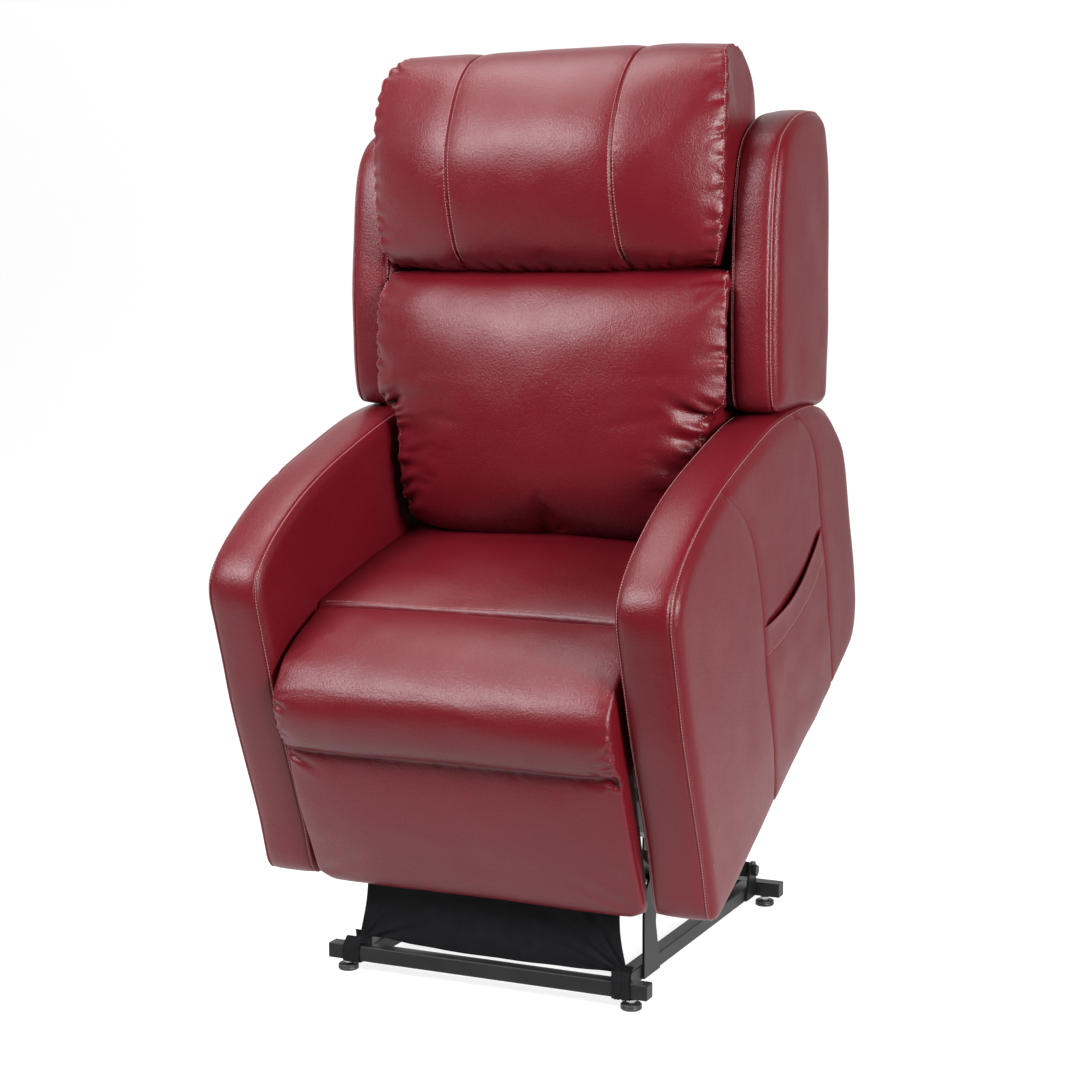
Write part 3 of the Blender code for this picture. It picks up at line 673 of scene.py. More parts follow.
def build_pocket(name, sign):
    """The pocket's panel, between the two seams from the mouth to the bottom edge."""
    loop, front, rear, mouth = arm_lines()

    def below(seam, start_z):
        part = seam[seam[:, 1] < start_z]
        return part[part[:, 1] > -0.0035]

    columns, rows = 76, 78
    left = even(np.concatenate([mouth[:1], below(front, 0.300)]), 0.001)
    right = even(np.concatenate([mouth[-1:], below(rear, 0.292)]), 0.001)

    def at(line, share):
        return sampled(line, share * (len(line) - 1))

    u = np.linspace(0.0, 1.0, columns + 1)
    u = 0.5 * u + 0.5 * (1 - np.cos(math.pi * u)) / 2
    v = np.linspace(0.0, 1.0, rows + 1) ** 1.35
    top = at(even(mouth, 0.001), u)
    along = np.linspace(left[-1, 0], right[-1, 0], columns + 1)
    under = loop[(loop[:, 1] < 0.0) & (loop[:, 0] > 0.05)]
    under = under[np.argsort(under[:, 0])]
    low = np.stack([along, np.interp(along, under[:, 0], under[:, 1]) + 0.0006], axis=1)
    grid = np.zeros((rows + 1, columns + 1, 2))
    for j, t in enumerate(v):
        a, b = at(left, t), at(right, t)
        ruled = (1 - t) * top + t * low
        ends = (1 - u)[:, None] * (a - ruled[0]) + u[:, None] * (b - ruled[-1])
        grid[j] = ruled + ends
    flat = grid.reshape(-1, 2)
    uu = np.tile(u, rows + 1)
    _, above = pocket_zone(flat, loop, front, rear, mouth)
    edge = np.minimum(gap_to(flat, front)[0], gap_to(flat, rear)[0])
    depth = np.maximum(-above, 0.0)
    open_mouth = (4 * uu * (1 - uu)) ** 1.3 * np.exp(-depth / 0.045)
    x = arm_side(flat, loop, front, rear) - 0.0008 + 0.0010 * smoothstep(0.001, 0.006, edge)
    x += 0.0036 * open_mouth
    # The turned-down hem along the mouth is a little thicker, with a dip at its stitching.
    hem = even(spline(HEM, 14), 0.004)
    to_hem, _ = gap_to(flat, hem)
    x += 0.0009 * np.exp(-((depth / 0.008) ** 2)) - 0.0007 * np.exp(-((to_hem / 0.0022) ** 2))
    x += 0.0006 * waves(8, 0.09)(np.concatenate([flat, flat[:, :1] * 0], axis=1))
    outer = np.concatenate([x[:, None], flat], axis=1)
    rim = 0.0012 + 0.0014 * smoothstep(0.0, 0.004, np.minimum(edge, 0.004))
    inner = outer - np.stack([rim, rim * 0, rim * 0], axis=1)
    points = np.concatenate([outer, inner])
    points[:, 0] *= sign
    faces = layer_faces(rows + 1, columns + 1)
    panel = make_object("pocket_" + name, from_chassis(points), faces, LOOKS["vinyl"])
    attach(panel, "chassis")
    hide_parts("pocket_panel_" + name)
    return panel


def wing_loop():
    return even(spline(WING_OUTLINE, 14, closed=True), 0.0045, closed=True)


def build_wing(name, sign):
    loop = wing_loop()
    body = waves(21, 0.13)
    closed = looped(loop)

    def face(side, crown):
        def x(points):
            gap, _ = gap_to(points, closed)
            out = crown * (1.0 - np.exp(-gap / 0.030)) + 0.0030 * (1.0 - np.exp(-gap / 0.0065))
            out -= 0.0040 * np.exp(-((gap / 0.0022) ** 2))
            return WING_X[1] + out if side > 0 else WING_X[0] - out
        return x

    lift = 0.0070 + 0.0045 * smoothstep(-0.12, -0.19, loop[:, 0])
    lift = lift - 0.004 * smoothstep(0.30, 0.265, loop[:, 1])
    extra = (face_points(loop, (), 0.009), face_points(loop, (), 0.012))
    wing = boxed_form("wing_cover_" + name, loop, WING_X, lift, face(1, 0.006), face(-1, 0.0), extra,
                      from_back, sign, LOOKS["vinyl"])
    co, n = coordinates(wing), normals(wing)
    set_coordinates(wing, co + n * (0.0006 * body(co * [sign, 1, 1]))[:, None])
    return finish_piece(wing, "back", "wing_" + name)


# ---------------------------------------------------------------- cushions

HEAD_MIDDLE = (
    (-0.215, 0.496), (-0.259, 0.507), (-0.291, 0.556), (-0.313, 0.630), (-0.311, 0.705), (-0.273, 0.782),
    (-0.235, 0.826), (-0.188, 0.855), (-0.120, 0.864), (-0.070, 0.849), (-0.046, 0.800), (-0.042, 0.680),
    (-0.042, 0.560), (-0.060, 0.505), (-0.130, 0.497),
)
# Each end point is (y, z, half width): the seam round the cushion's side panel.
HEAD_END = (
    (-0.203, 0.503, 0.293), (-0.233, 0.530, 0.309), (-0.238, 0.580, 0.315), (-0.237, 0.634, 0.318),
    (-0.236, 0.700, 0.319), (-0.225, 0.775, 0.318), (-0.205, 0.822, 0.312), (-0.176, 0.850, 0.300),
    (-0.115, 0.860, 0.292), (-0.070, 0.846, 0.292), (-0.046, 0.800, 0.300), (-0.042, 0.680, 0.303),
    (-0.042, 0.560, 0.303), (-0.060, 0.508, 0.296), (-0.130, 0.501, 0.290),
)
LUMBAR_MIDDLE = (
    (-0.225, 0.046), (-0.262, 0.070), (-0.288, 0.130), (-0.300, 0.205), (-0.303, 0.255), (-0.304, 0.285),
    (-0.303, 0.320), (-0.295, 0.390), (-0.268, 0.456), (-0.221, 0.494), (-0.125, 0.499), (-0.062, 0.496),
    (-0.043, 0.470), (-0.042, 0.300), (-0.042, 0.115), (-0.056, 0.060), (-0.130, 0.045),
)
LUMBAR_END = (
    (-0.203, 0.060, 0.266), (-0.225, 0.090, 0.273), (-0.237, 0.145, 0.278), (-0.240, 0.210, 0.281),
    (-0.240, 0.252, 0.285), (-0.237, 0.276, 0.316), (-0.238, 0.320, 0.321), (-0.237, 0.388, 0.320),
    (-0.228, 0.450, 0.318), (-0.203, 0.486, 0.312), (-0.120, 0.491, 0.300), (-0.062, 0.484, 0.297),
    (-0.043, 0.462, 0.300), (-0.042, 0.300, 0.300), (-0.042, 0.120, 0.285), (-0.056, 0.066, 0.280),
    (-0.125, 0.056, 0.275),
)
SEAT_HALF = 0.2975
PAD_HALF = 0.290


def stations(half, count, dense=()):
    """Places across a cushion: closer together towards its sides and beside each dense one."""
    t = np.linspace(-1.0, 1.0, 2 * count + 1)
    x = np.sign(t) * (1.0 - (1.0 - np.abs(t)) ** 1.25) * half
    for centre in dense:
        offsets = np.array([-0.007, -0.0042, -0.0024, -0.001, 0.001, 0.0024, 0.0042, 0.007])
        x = x[np.abs(x - centre) > 0.0085]
        x = np.concatenate([x, centre + offsets])
    return np.sort(x)


def widened(end, half):
    return [(y, z, half) for y, z in end]


def cushion(name, middle, end, place, step, shape, bulge, look, dense=()):
    """A closed stuffed form: it swells from its end outline to its middle one, and its ends are capped."""
    middle, end = np.array(middle), np.array(end)
    half = end[:, 2].max()
    lengths = np.linalg.norm(np.roll(middle, -1, axis=0) - middle, axis=1)
    spans = [max(2, int(round(length / step))) for length in lengths]

    def loop_of(points):
        fine = spline(points, 24, closed=True).reshape(len(points), 24, points.shape[1])
        fine = np.concatenate([fine, np.roll(fine, -1, axis=0)[:, :1]], axis=1)
        out = []
        for row, count in zip(fine, spans):
            at = np.linspace(0, 24, count, endpoint=False)
            out.append(sampled(row, at))
        return np.concatenate(out)

    mid, rim = loop_of(middle), loop_of(end)
    xs = stations(half, int(half / step * 0.9), dense)
    power, fall = shape
    points, faces = [], []
    count = len(mid)
    width = rim[:, 2]
    rim = rim[:, :2]
    for x in xs:
        f = max(0.0, 1.0 - abs(x / half) ** power) ** fall
        flat = rim + (mid - rim) * f
        # The middle keeps even columns; only the outer part follows the seam's own width.
        own = x * (1.0 + (width / half - 1.0) * float(smoothstep(0.45, 1.0, abs(x / half))))
        points.append(np.concatenate([own[:, None], flat], axis=1))
    for j in range(len(xs) - 1):
        for i in range(count):
            k = (i + 1) % count
            faces.append((j * count + i, j * count + k, (j + 1) * count + k, (j + 1) * count + i))
    centre = rim.mean(axis=0)
    total = count * len(xs)
    rings = max(4, int(0.085 / step))
    mean_width = width.mean()
    for side, start in ((-1, 0), (1, (len(xs) - 1) * count)):
        previous = start
        for r in range(1, rings + 1):
            keep = 1.0 - r / (rings + 0.6)
            flat = centre + (rim - centre) * keep
            x = side * (mean_width + (width - mean_width) * keep**2 + bulge * (1.0 - keep * keep))
            points.append(np.concatenate([x[:, None], flat], axis=1))
            for i in range(count):
                k = (i + 1) % count
                faces.append((previous + i, previous + k, total + k, total + i))
            previous = total
            total += count
        points.append(np.array([[side * (mean_width + bulge), *centre]]))
        for i in range(count):
            faces.append((previous + i, previous + (i + 1) % count, total))
        total += 1
    return make_object(name, place(np.concatenate(points)), faces, look)


def creased(obj, lines, place):
    """Presses folds into the surface: each is (start, end, depth, width), in the frame that place takes."""
    shoulder = 0.35
    co, n = coordinates(obj), normals(obj)
    push = np.zeros(len(co))
    for start, end, depth, width in lines:
        a, b = place(np.array([start, end]))
        d = b - a
        raw = ((co - a) @ d) / (d @ d)
        t = np.clip(raw, 0.0, 1.0)
        off = co - (a + t[:, None] * d)
        off -= n * np.sum(off * n, axis=1)[:, None]
        r = np.linalg.norm(off, axis=1)
        far = np.linalg.norm(co - (a + t[:, None] * d), axis=1)
        w = width * (0.65 + 0.9 * t)
        fade = (1.0 - t) ** 1.2 * np.exp(-((far / 0.05) ** 4))
        push += depth * fade * (shoulder * np.exp(-(((r - 1.7 * w) / w) ** 2)) - np.exp(-((r / w) ** 2)))
    set_coordinates(obj, co + n * push[:, None])


def ruffle(rng, edge, inward, count, length, depth, width, spread=0.5):
    """Fold lines that start along an edge and run inward from it."""
    lines = []
    at = (np.arange(count) + rng.uniform(0.15, 0.85, count)) / count
    for share in at:
        i = share * (len(edge) - 1)
        start = sampled(edge, i)
        lean = rng.normal(0.0, spread)
        along = edge[min(int(i) + 1, len(edge) - 1)] - edge[max(int(i) - 1, 0)]
        along = along / max(np.linalg.norm(along), 1e-9)
        heading = np.asarray(inward, float) + along * lean
        heading /= np.linalg.norm(heading)
        reach = length * rng.uniform(0.45, 1.35)
        deep = depth * rng.uniform(0.4, 1.3)
        wide = width * rng.uniform(0.7, 1.4)
        lines.append((start, start + heading * reach, deep, wide))
    return lines


def rim_line(end, first, last, sign):
    """The seam round a cushion's side panel, between two of its points, as (x, y, z)."""
    line = even(spline(end, 12, closed=True)[12 * first : 12 * last + 1], 0.004)
    return np.stack([sign * line[:, 2], line[:, 0], line[:, 1]], axis=1)


PRESSURE = 4.0
FRAMES = 20


def inflate(obj, held, limit=0.024):
    """Fills the cover by cloth simulation. held is each point's hold, 0 to 1, and limit the farthest move."""
    before = coordinates(obj)
    group = obj.vertex_groups.new(name="held")
    for i, hold in enumerate(held):
        if hold > 0.01:
            group.add([i], float(hold), "REPLACE")
    cloth = obj.modifiers.new("Cloth", "CLOTH")
    settings = cloth.settings
    settings.quality = 6
    settings.mass = 0.5
    settings.tension_stiffness = settings.compression_stiffness = 18.0
    settings.shear_stiffness = 8.0
    settings.bending_stiffness = 1.2
    settings.use_pressure = True
    settings.uniform_pressure_force = PRESSURE
    settings.vertex_group_mass = "held"
    settings.effector_weights.gravity = 0.0
    cloth.collision_settings.use_collision = False
    cloth.point_cache.frame_start, cloth.point_cache.frame_end = 1, FRAMES
    scene = bpy.context.scene
    scene.frame_start, scene.frame_end = 1, FRAMES
    for number in range(1, FRAMES + 1):
        scene.frame_set(number)
    graph = bpy.context.evaluated_depsgraph_get()
    after = np.empty(len(before) * 3)
    obj.evaluated_get(graph).data.vertices.foreach_get("co", after)
    move = after.reshape(-1, 3) - before
    size = np.linalg.norm(move, axis=1, keepdims=True)
    obj.modifiers.clear()
    obj.vertex_groups.clear()
    scene.frame_set(1)
    set_coordinates(obj, before + move * np.minimum(1.0, limit / np.maximum(size, 1e-9)))


def local_of(co, place):
    """Row-frame points back in the frame that place takes."""
    base, x, y, z = place(np.array([[0, 0, 0], [1, 0, 0], [0, 1, 0], [0, 0, 1]], float))
    return (co - base) @ np.stack([x - base, y - base, z - base]).T


HEAD_SEAM_X = 0.149


def head_seam(z):
    """How far out from the middle the head cushion's two upright seams run."""
    return HEAD_SEAM_X - 0.002 * np.sin(math.pi * np.clip((z - 0.50) / 0.35, 0, 1))


def build_head():
    """The head cushion: three panels across, gathered into the seams of its side panels."""
    body = cushion("head_cushion_cover", HEAD_MIDDLE, HEAD_END, from_back, 0.0068, (2.6, 0.8), 0.009,
                   LOOKS["vinyl"], dense=(-HEAD_SEAM_X, HEAD_SEAM_X))
    p = local_of(coordinates(body), from_back)
    inflate(body, smoothstep(-0.10, -0.05, p[:, 1]) + smoothstep(0.285, 0.297, np.abs(p[:, 0])))
    subdivide(body)
    co, n = coordinates(body), normals(body)
    p = local_of(co, from_back)
    front = smoothstep(-0.055, -0.10, p[:, 1]) * smoothstep(0.310, 0.290, np.abs(p[:, 0]))
    off = np.abs(p[:, 0]) - head_seam(p[:, 2])
    groove = -0.0022 * np.exp(-((off / 0.0020) ** 2)) - 0.0030 * np.exp(-((np.abs(off) / 0.014) ** 1.3))
    soft = 0.0014 * waves(31, 0.26)(p) + 0.0004 * waves(32, 0.08)(p)
    set_coordinates(body, from_back(p) + n * (groove * front + soft * front)[:, None])
    rng = np.random.default_rng(3)
    lines = []
    for way in (-1.0, 1.0):
        edge = rim_line(HEAD_END, 0, 7, way)
        lines += ruffle(rng, edge, (-way * 0.9, -0.42, 0), 15, 0.038, 0.0030, 0.0068, 0.30)
        lines += ruffle(rng, edge, (-way * 0.12, 1.0, 0), 14, 0.032, 0.0026, 0.0064, 0.30)
        top = rim_line(HEAD_END, 7, 9, way)
        lines += ruffle(rng, top, (-way, 0, -0.1), 6, 0.030, 0.0026, 0.0050, 0.4)
    under = np.array([(x, -0.225, 0.501) for x in np.linspace(-0.27, 0.27, 30)])
    lines += ruffle(rng, under, (0, -0.75, 0.65), 15, 0.046, 0.0034, 0.0080, 0.5)
    for x in (-HEAD_SEAM_X, HEAD_SEAM_X):
        both = np.array([(x, -0.30, z) for z in np.linspace(0.53, 0.80, 20)])
        for way in (-1, 1):
            lines += ruffle(rng, both, (way, 0, 0), 7, 0.018, 0.0007, 0.0040, 0.4)
    creased(body, lines, from_back)
    finish_piece(body, "back", "head_cushion")
    return body


def build_lumbar():
    """The lumbar cushion, which narrows between the arms and folds where they pinch it."""
    body = cushion("lumbar_cushion_cover", LUMBAR_MIDDLE, LUMBAR_END, from_back, 0.0068, (2.6, 0.75), 0.002,
                   LOOKS["vinyl"])
    p = local_of(coordinates(body), from_back)
    inflate(body, smoothstep(-0.10, -0.05, p[:, 1]) + smoothstep(0.265, 0.280, np.abs(p[:, 0])))
    subdivide(body)
    co, n = coordinates(body), normals(body)
    p = local_of(co, from_back)
    front = smoothstep(-0.055, -0.10, p[:, 1])
    soft = 0.0014 * waves(41, 0.26)(p) + 0.0004 * waves(42, 0.08)(p)
    set_coordinates(body, co + n * (soft * front)[:, None])
    rng = np.random.default_rng(7)
    lines = []
    for way in (-1.0, 1.0):
        edge = rim_line(LUMBAR_END, 5, 9, way)
        lines += ruffle(rng, edge, (-way * 0.9, -0.42, 0), 8, 0.050, 0.0042, 0.0080, 0.25)
        lines += ruffle(rng, edge, (-way * 0.12, 1.0, 0), 8, 0.032, 0.0024, 0.0065, 0.35)
        corner = rim_line(LUMBAR_END, 4, 5, way)
        lines += ruffle(rng, corner, (-way * 0.86, -0.36, 0.34), 5, 0.135, 0.0100, 0.0095, 0.20)
        upper = np.array([(way * 0.312, -0.215, z) for z in np.linspace(0.455, 0.485, 5)])
        lines += ruffle(rng, upper, (-way * 0.80, -0.40, -0.45), 3, 0.080, 0.0040, 0.0090, 0.30)
        low = rim_line(LUMBAR_END, 1, 4, way)
        lines += ruffle(rng, low, (-way * 0.90, -0.40, 0.28), 8, 0.095, 0.0072, 0.0085, 0.24)
    under = np.array([(x, -0.235, 0.052) for x in np.linspace(-0.24, 0.24, 30)])
    lines += ruffle(rng, under, (0, -0.70, 0.70), 8, 0.036, 0.0020, 0.0085, 0.6)
    creased(body, lines, from_back)
    finish_piece(body, "back", "lumbar_cushion")
    return body


SEAT_MIDDLE = (
    (0.1985, 0.340), (0.1985, 0.4165), (0.206, 0.4245), (0.250, 0.4250), (0.350, 0.4080), (0.450, 0.3880),
    (0.540, 0.3680), (0.600, 0.3480), (0.607, 0.3050), (0.600, 0.2660), (0.450, 0.2880), (0.300, 0.3130),
)
SEAT_END = (
    (0.1985, 0.340), (0.1985, 0.4100), (0.206, 0.4165), (0.250, 0.4110), (0.350, 0.3930), (0.450, 0.3740),
    (0.540, 0.3540), (0.600, 0.3400), (0.605, 0.3050), (0.600, 0.2680), (0.450, 0.2900), (0.300, 0.3150),
)


def build_seat():
    """The seat cushion behind the front roll."""
    body = cushion("seat_cushion_cover", SEAT_MIDDLE, widened(SEAT_END, SEAT_HALF), from_chassis, 0.0085,
                   (4.0, 0.8), 0.001, LOOKS["vinyl"])
    p = local_of(coordinates(body), from_chassis)
    inflate(body, smoothstep(0.345, 0.325, p[:, 2]) + smoothstep(0.215, 0.201, p[:, 1])
            + smoothstep(0.285, 0.296, np.abs(p[:, 0])), 0.010)
    subdivide(body)
    co, n = coordinates(body), normals(body)
    p = local_of(co, from_chassis)
    top = smoothstep(0.345, 0.365, p[:, 2])
    soft = 0.0012 * waves(51, 0.26)(p) + 0.0003 * waves(52, 0.08)(p)
    set_coordinates(body, co + n * (soft * top)[:, None])
    rng = np.random.default_rng(17)
    front = np.array([(x, 0.2005, 0.422) for x in np.linspace(-0.27, 0.27, 30)])
    lines = ruffle(rng, front, (0, 1, 0), 12, 0.022, 0.0006, 0.0055, 0.6)
    creased(body, lines, from_chassis)
    finish_piece(body, "chassis", "seat_cushion")
    return body


PAD_MIDDLE = (
    (0.1960, 0.352), (0.1960, 0.4150), (0.1890, 0.4225), (0.1500, 0.4235), (0.1000, 0.4225), (0.0600, 0.4150),
    (0.0260, 0.4020), (-0.0040, 0.3780), (-0.0200, 0.3450), (-0.0200, 0.3100), (-0.0120, 0.2830),
    (0.0045, 0.2690), (-0.0040, 0.2560), (-0.0105, 0.2150), (-0.0175, 0.1400), (-0.0165, 0.0650),
    (-0.0115, 0.0180), (0.0000, 0.0045), (0.0110, 0.0070), (0.0120, 0.0700), (0.0120, 0.2300),
    (0.0130, 0.2980), (0.0340, 0.3280), (0.1000, 0.3420),
)
PAD_END = (
    (0.1960, 0.354), (0.1960, 0.4080), (0.1890, 0.4150), (0.1500, 0.4150), (0.1000, 0.4130), (0.0620, 0.4060),
    (0.0320, 0.3920), (0.0060, 0.3700), (-0.0060, 0.3430), (-0.0060, 0.3120), (-0.0010, 0.2870),
    (0.0070, 0.2710), (0.0030, 0.2570), (-0.0020, 0.2150), (-0.0060, 0.1400), (-0.0060, 0.0700),
    (-0.0045, 0.0240), (0.0030, 0.0090), (0.0110, 0.0130), (0.0120, 0.0750), (0.0120, 0.2300),
    (0.0130, 0.2980), (0.0340, 0.3300), (0.1000, 0.3440),
)


def build_pad():
    """The front roll and the leg rest's cover, in one piece."""
    body = cushion("leg_rest_cover", PAD_MIDDLE, widened(PAD_END, PAD_HALF), from_chassis, 0.0075, (9.0, 0.5),
                   0.002, LOOKS["vinyl"])
    p = local_of(coordinates(body), from_chassis)
    inflate(body, smoothstep(0.0, 0.010, p[:, 1]) * smoothstep(0.36, 0.34, p[:, 2])
            + smoothstep(0.185, 0.195, p[:, 1]) + np.exp(-(((p[:, 2] - 0.269) / 0.008) ** 2))
            + smoothstep(0.280, 0.289, np.abs(p[:, 0])), 0.010)
    subdivide(body)
    co, n = coordinates(body), normals(body)
    p = local_of(co, from_chassis)
    outer = smoothstep(0.008, 0.0, p[:, 1]) + smoothstep(0.37, 0.40, p[:, 2])
    # The lower corners are rounded.
    round_off = smoothstep(0.040, 0.010, p[:, 2]) * smoothstep(0.262, 0.292, np.abs(p[:, 0]))
    p[:, 2] += 0.008 * round_off
    p[:, 2] -= 0.004 * smoothstep(0.10, 0.0, p[:, 2])
    soft = 0.0010 * waves(61, 0.26)(p) + 0.0003 * waves(62, 0.08)(p)
    set_coordinates(body, from_chassis(p) + n * (soft * np.clip(outer, 0, 1))[:, None])
    rng = np.random.default_rng(23)
    lines = []
    for way in (-1.0, 1.0):
        side = np.array([(way * 0.287, -0.004, z) for z in np.linspace(0.285, 0.375, 12)])
        lines += ruffle(rng, side, (-way, -0.25, 0), 7, 0.030, 0.0038, 0.0042, 0.45)
        tuck = np.array([(way * 0.285, 0.000, z) for z in np.linspace(0.255, 0.275, 5)])
        lines += ruffle(rng, tuck, (-way, -0.2, 0.25), 4, 0.060, 0.0036, 0.0050, 0.35)
    fold = np.array([(x, 0.002, 0.268) for x in np.linspace(-0.26, 0.26, 30)])
    lines += ruffle(rng, fold, (0, -0.25, 1.0), 10, 0.024, 0.0009, 0.0070, 0.5)
    lines += ruffle(rng, fold, (0, -0.25, -1.0), 6, 0.026, 0.0006, 0.0070, 0.5)
    creased(body, lines, from_chassis)
    body = finish_piece(body, None, "footrest_pad")
    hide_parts("seat_front_roll")
    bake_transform(body)


PANEL_HALF = 0.3085
PANEL_FOLD_Z = 0.262
PANEL_MIDDLE = (
    (0.0560, -0.050), (0.0560, 0.350), (0.0560, 0.680), (0.0550, 0.7030), (0.0490, 0.7070), (0.0200, 0.7075),
    (-0.0290, 0.7075), (-0.0375, 0.7110), (-0.0390, 0.7230), (-0.0330, 0.7360), (0.0150, 0.7425),
    (0.0620, 0.7440), (0.0780, 0.738), (0.0860, 0.700), (0.0890, 0.500), (0.0890, 0.200), (0.0850, -0.020),
    (0.0780, -0.046), (0.0640, -0.053),
)
PANEL_END = (
    (0.0560, -0.044), (0.0560, 0.350), (0.0560, 0.680), (0.0550, 0.7030), (0.0490, 0.7070), (0.0200, 0.7075),
    (-0.0290, 0.7075), (-0.0365, 0.7100), (-0.0380, 0.7190), (-0.0320, 0.7290), (0.0150, 0.7345),
    (0.0600, 0.7360), (0.0700, 0.732), (0.0740, 0.700), (0.0750, 0.500), (0.0750, 0.200), (0.0740, -0.020),
    (0.0700, -0.040), (0.0610, -0.046),
)


def build_back_panel():
    """The outer panel of the back, which folds forward over the top of the back's frame."""
    body = cushion("back_panel_cover", PANEL_MIDDLE, widened(PANEL_END, PANEL_HALF), from_back, 0.0100,
                   (14.0, 0.5), 0.001, LOOKS["vinyl"])
    p = local_of(coordinates(body), from_back)
    p[:, 0] *= 1.0 - 0.065 * smoothstep(PANEL_FOLD_Z, PANEL_FOLD_Z - 0.030, p[:, 2])
    set_coordinates(body, from_back(p))
    subdivide(body)
    co, n = coordinates(body), normals(body)
    p = local_of(co, from_back)
    rear = smoothstep(0.076, 0.084, p[:, 1])
    soft = 0.0016 * waves(71, 0.24)(p)
    soft -= 0.0026 * np.exp(-(((p[:, 2] - PANEL_FOLD_Z) / 0.0035) ** 2))
    set_coordinates(body, co + n * (soft * rear)[:, None])
    finish_piece(body, "back", "back_panel")


# ---------------------------------------------------------------- stitching

STITCH = 0.0038
PITCH = 0.0053
THREAD_RADIUS = 0.00056
THREAD_SIDES = 6
ROW_OUT = 0.0060


def tree_of(obj):
    return BVHTree.FromPolygons([v.co for v in obj.data.vertices], [p.vertices for p in obj.data.polygons])


def settled(tree, line):
    """The points of a line moved to the nearest surface, with the surface's normal at each."""
    spots, ups = [], []
    for p in line:
        spot, up, _, _ = tree.find_nearest(Vector(p))
        spots.append(spot)
        ups.append(up)
    return np.array(spots), np.array(ups)


def cast(tree, starts, direction):
    """Where lines from the starts first meet the surface."""
    out = []
    for start in starts:
        spot = tree.ray_cast(Vector(start), Vector(direction))[0]
        if spot is not None:
            out.append(spot)
    return np.array(out)


class Thread:
    """Gathers the stitches of one body into one mesh."""

    def __init__(self):
        self.points, self.faces = [], []
        self.count = 0

    def run(self, tree, line, centre):
        """Sews a row of stitches along the line, on the side of the surface away from the centre."""
        line = even(line, 0.0023)
        spots, ups = settled(tree, line)
        facing = np.sum(ups * (spots - centre), axis=1)
        ups = np.where(facing[:, None] < 0, -ups, ups)
        lengths = np.concatenate([[0], np.cumsum(np.linalg.norm(np.diff(spots, axis=0), axis=1))])
        for start in np.arange(PITCH * 0.3, lengths[-1] - STITCH, PITCH):
            at = start + STITCH * np.array([0.0, 0.22, 0.5, 0.78, 1.0])
            middle = sampled(spots, at, lengths)
            up = sampled(ups, at, lengths)
            up /= np.linalg.norm(up, axis=1, keepdims=True)
            along = middle[-1] - middle[0]
            along /= max(np.linalg.norm(along), 1e-9)
            across = np.cross(along, up)
            across /= np.linalg.norm(across, axis=1, keepdims=True)
            rise = np.array([-0.00035, 0.00016, 0.00024, 0.00016, -0.00035])
            width = THREAD_RADIUS * np.array([0.55, 1.0, 1.05, 1.0, 0.55])
            for c, u, s, h, w in zip(middle, up, across, rise, width):
                for k in range(THREAD_SIDES):
                    a = 2 * math.pi * k / THREAD_SIDES
                    self.points.append(c + u * h + w * (u * math.cos(a) + s * math.sin(a)))
            base, sides = self.count, THREAD_SIDES
            last = base + (len(rise) - 1) * sides
            for ring in range(base, last, sides):
                for k in range(sides):
                    a, b = ring + k, ring + (k + 1) % sides
                    self.faces.append((a, b, b + sides, a + sides))
            self.faces.append(tuple(base + k for k in range(sides)))
            self.faces.append(tuple(last + k for k in reversed(range(sides))))
            self.count = last + sides

    def done(self, name, body):
        obj = make_object(name, np.array(self.points), self.faces, LOOKS["thread"])
        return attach(obj, body)


def mirrored(points, sign):
    return np.asarray(points, float) * [sign, 1.0, 1.0]


def outline_row(loop, kept, x, place, sign):
    """The line of a row just outside the kept stretch of an outline, x from the chair's middle."""
    order = np.roll(np.arange(len(loop)), -int(np.argmax(~kept)))
    order = order[kept[order]]
    flat = (loop + outward(loop) * ROW_OUT)[order]
    return place(mirrored(np.concatenate([np.full((len(flat), 1), x), flat], axis=1), sign))


def stitch_arm(thread, arm, sign):
    """A row beside each of the band's edges, which stops where the outline turns under."""
    tree = tree_of(arm)
    loop = arm_lines()[0]
    centre = from_chassis(np.array([[sign * 0.35, 0.45, 0.28]]))[0]
    for x in (ARM_X[1] - 0.0072, ARM_X[0] + 0.0072):
        thread.run(tree, outline_row(loop, loop[:, 1] > -0.006, x, from_chassis, sign), centre)


def stitch_pocket(thread, panel, sign):
    """The row that holds the pocket's hem."""
    tree = tree_of(panel)
    hem = even(spline(HEM, 14), 0.003)[1:-1]
    points = from_chassis(mirrored(np.concatenate([np.full((len(hem), 1), 0.408), hem], axis=1), sign))
    thread.run(tree, points, from_chassis(np.array([[sign * 0.35, 0.55, 0.25]]))[0])


def stitch_wing(thread, wing, sign):
    """A row beside each edge of the band, over the top and down the front."""
    tree = tree_of(wing)
    loop = wing_loop()
    front = (loop[:, 0] < 0.05) & (loop[:, 1] > 0.272)
    centre = from_back(np.array([[sign * 0.35, -0.06, 0.5]]))[0]
    for x in (WING_X[1] - 0.0060, WING_X[0] + 0.0060):
        thread.run(tree, outline_row(loop, front, x, from_back, sign), centre)


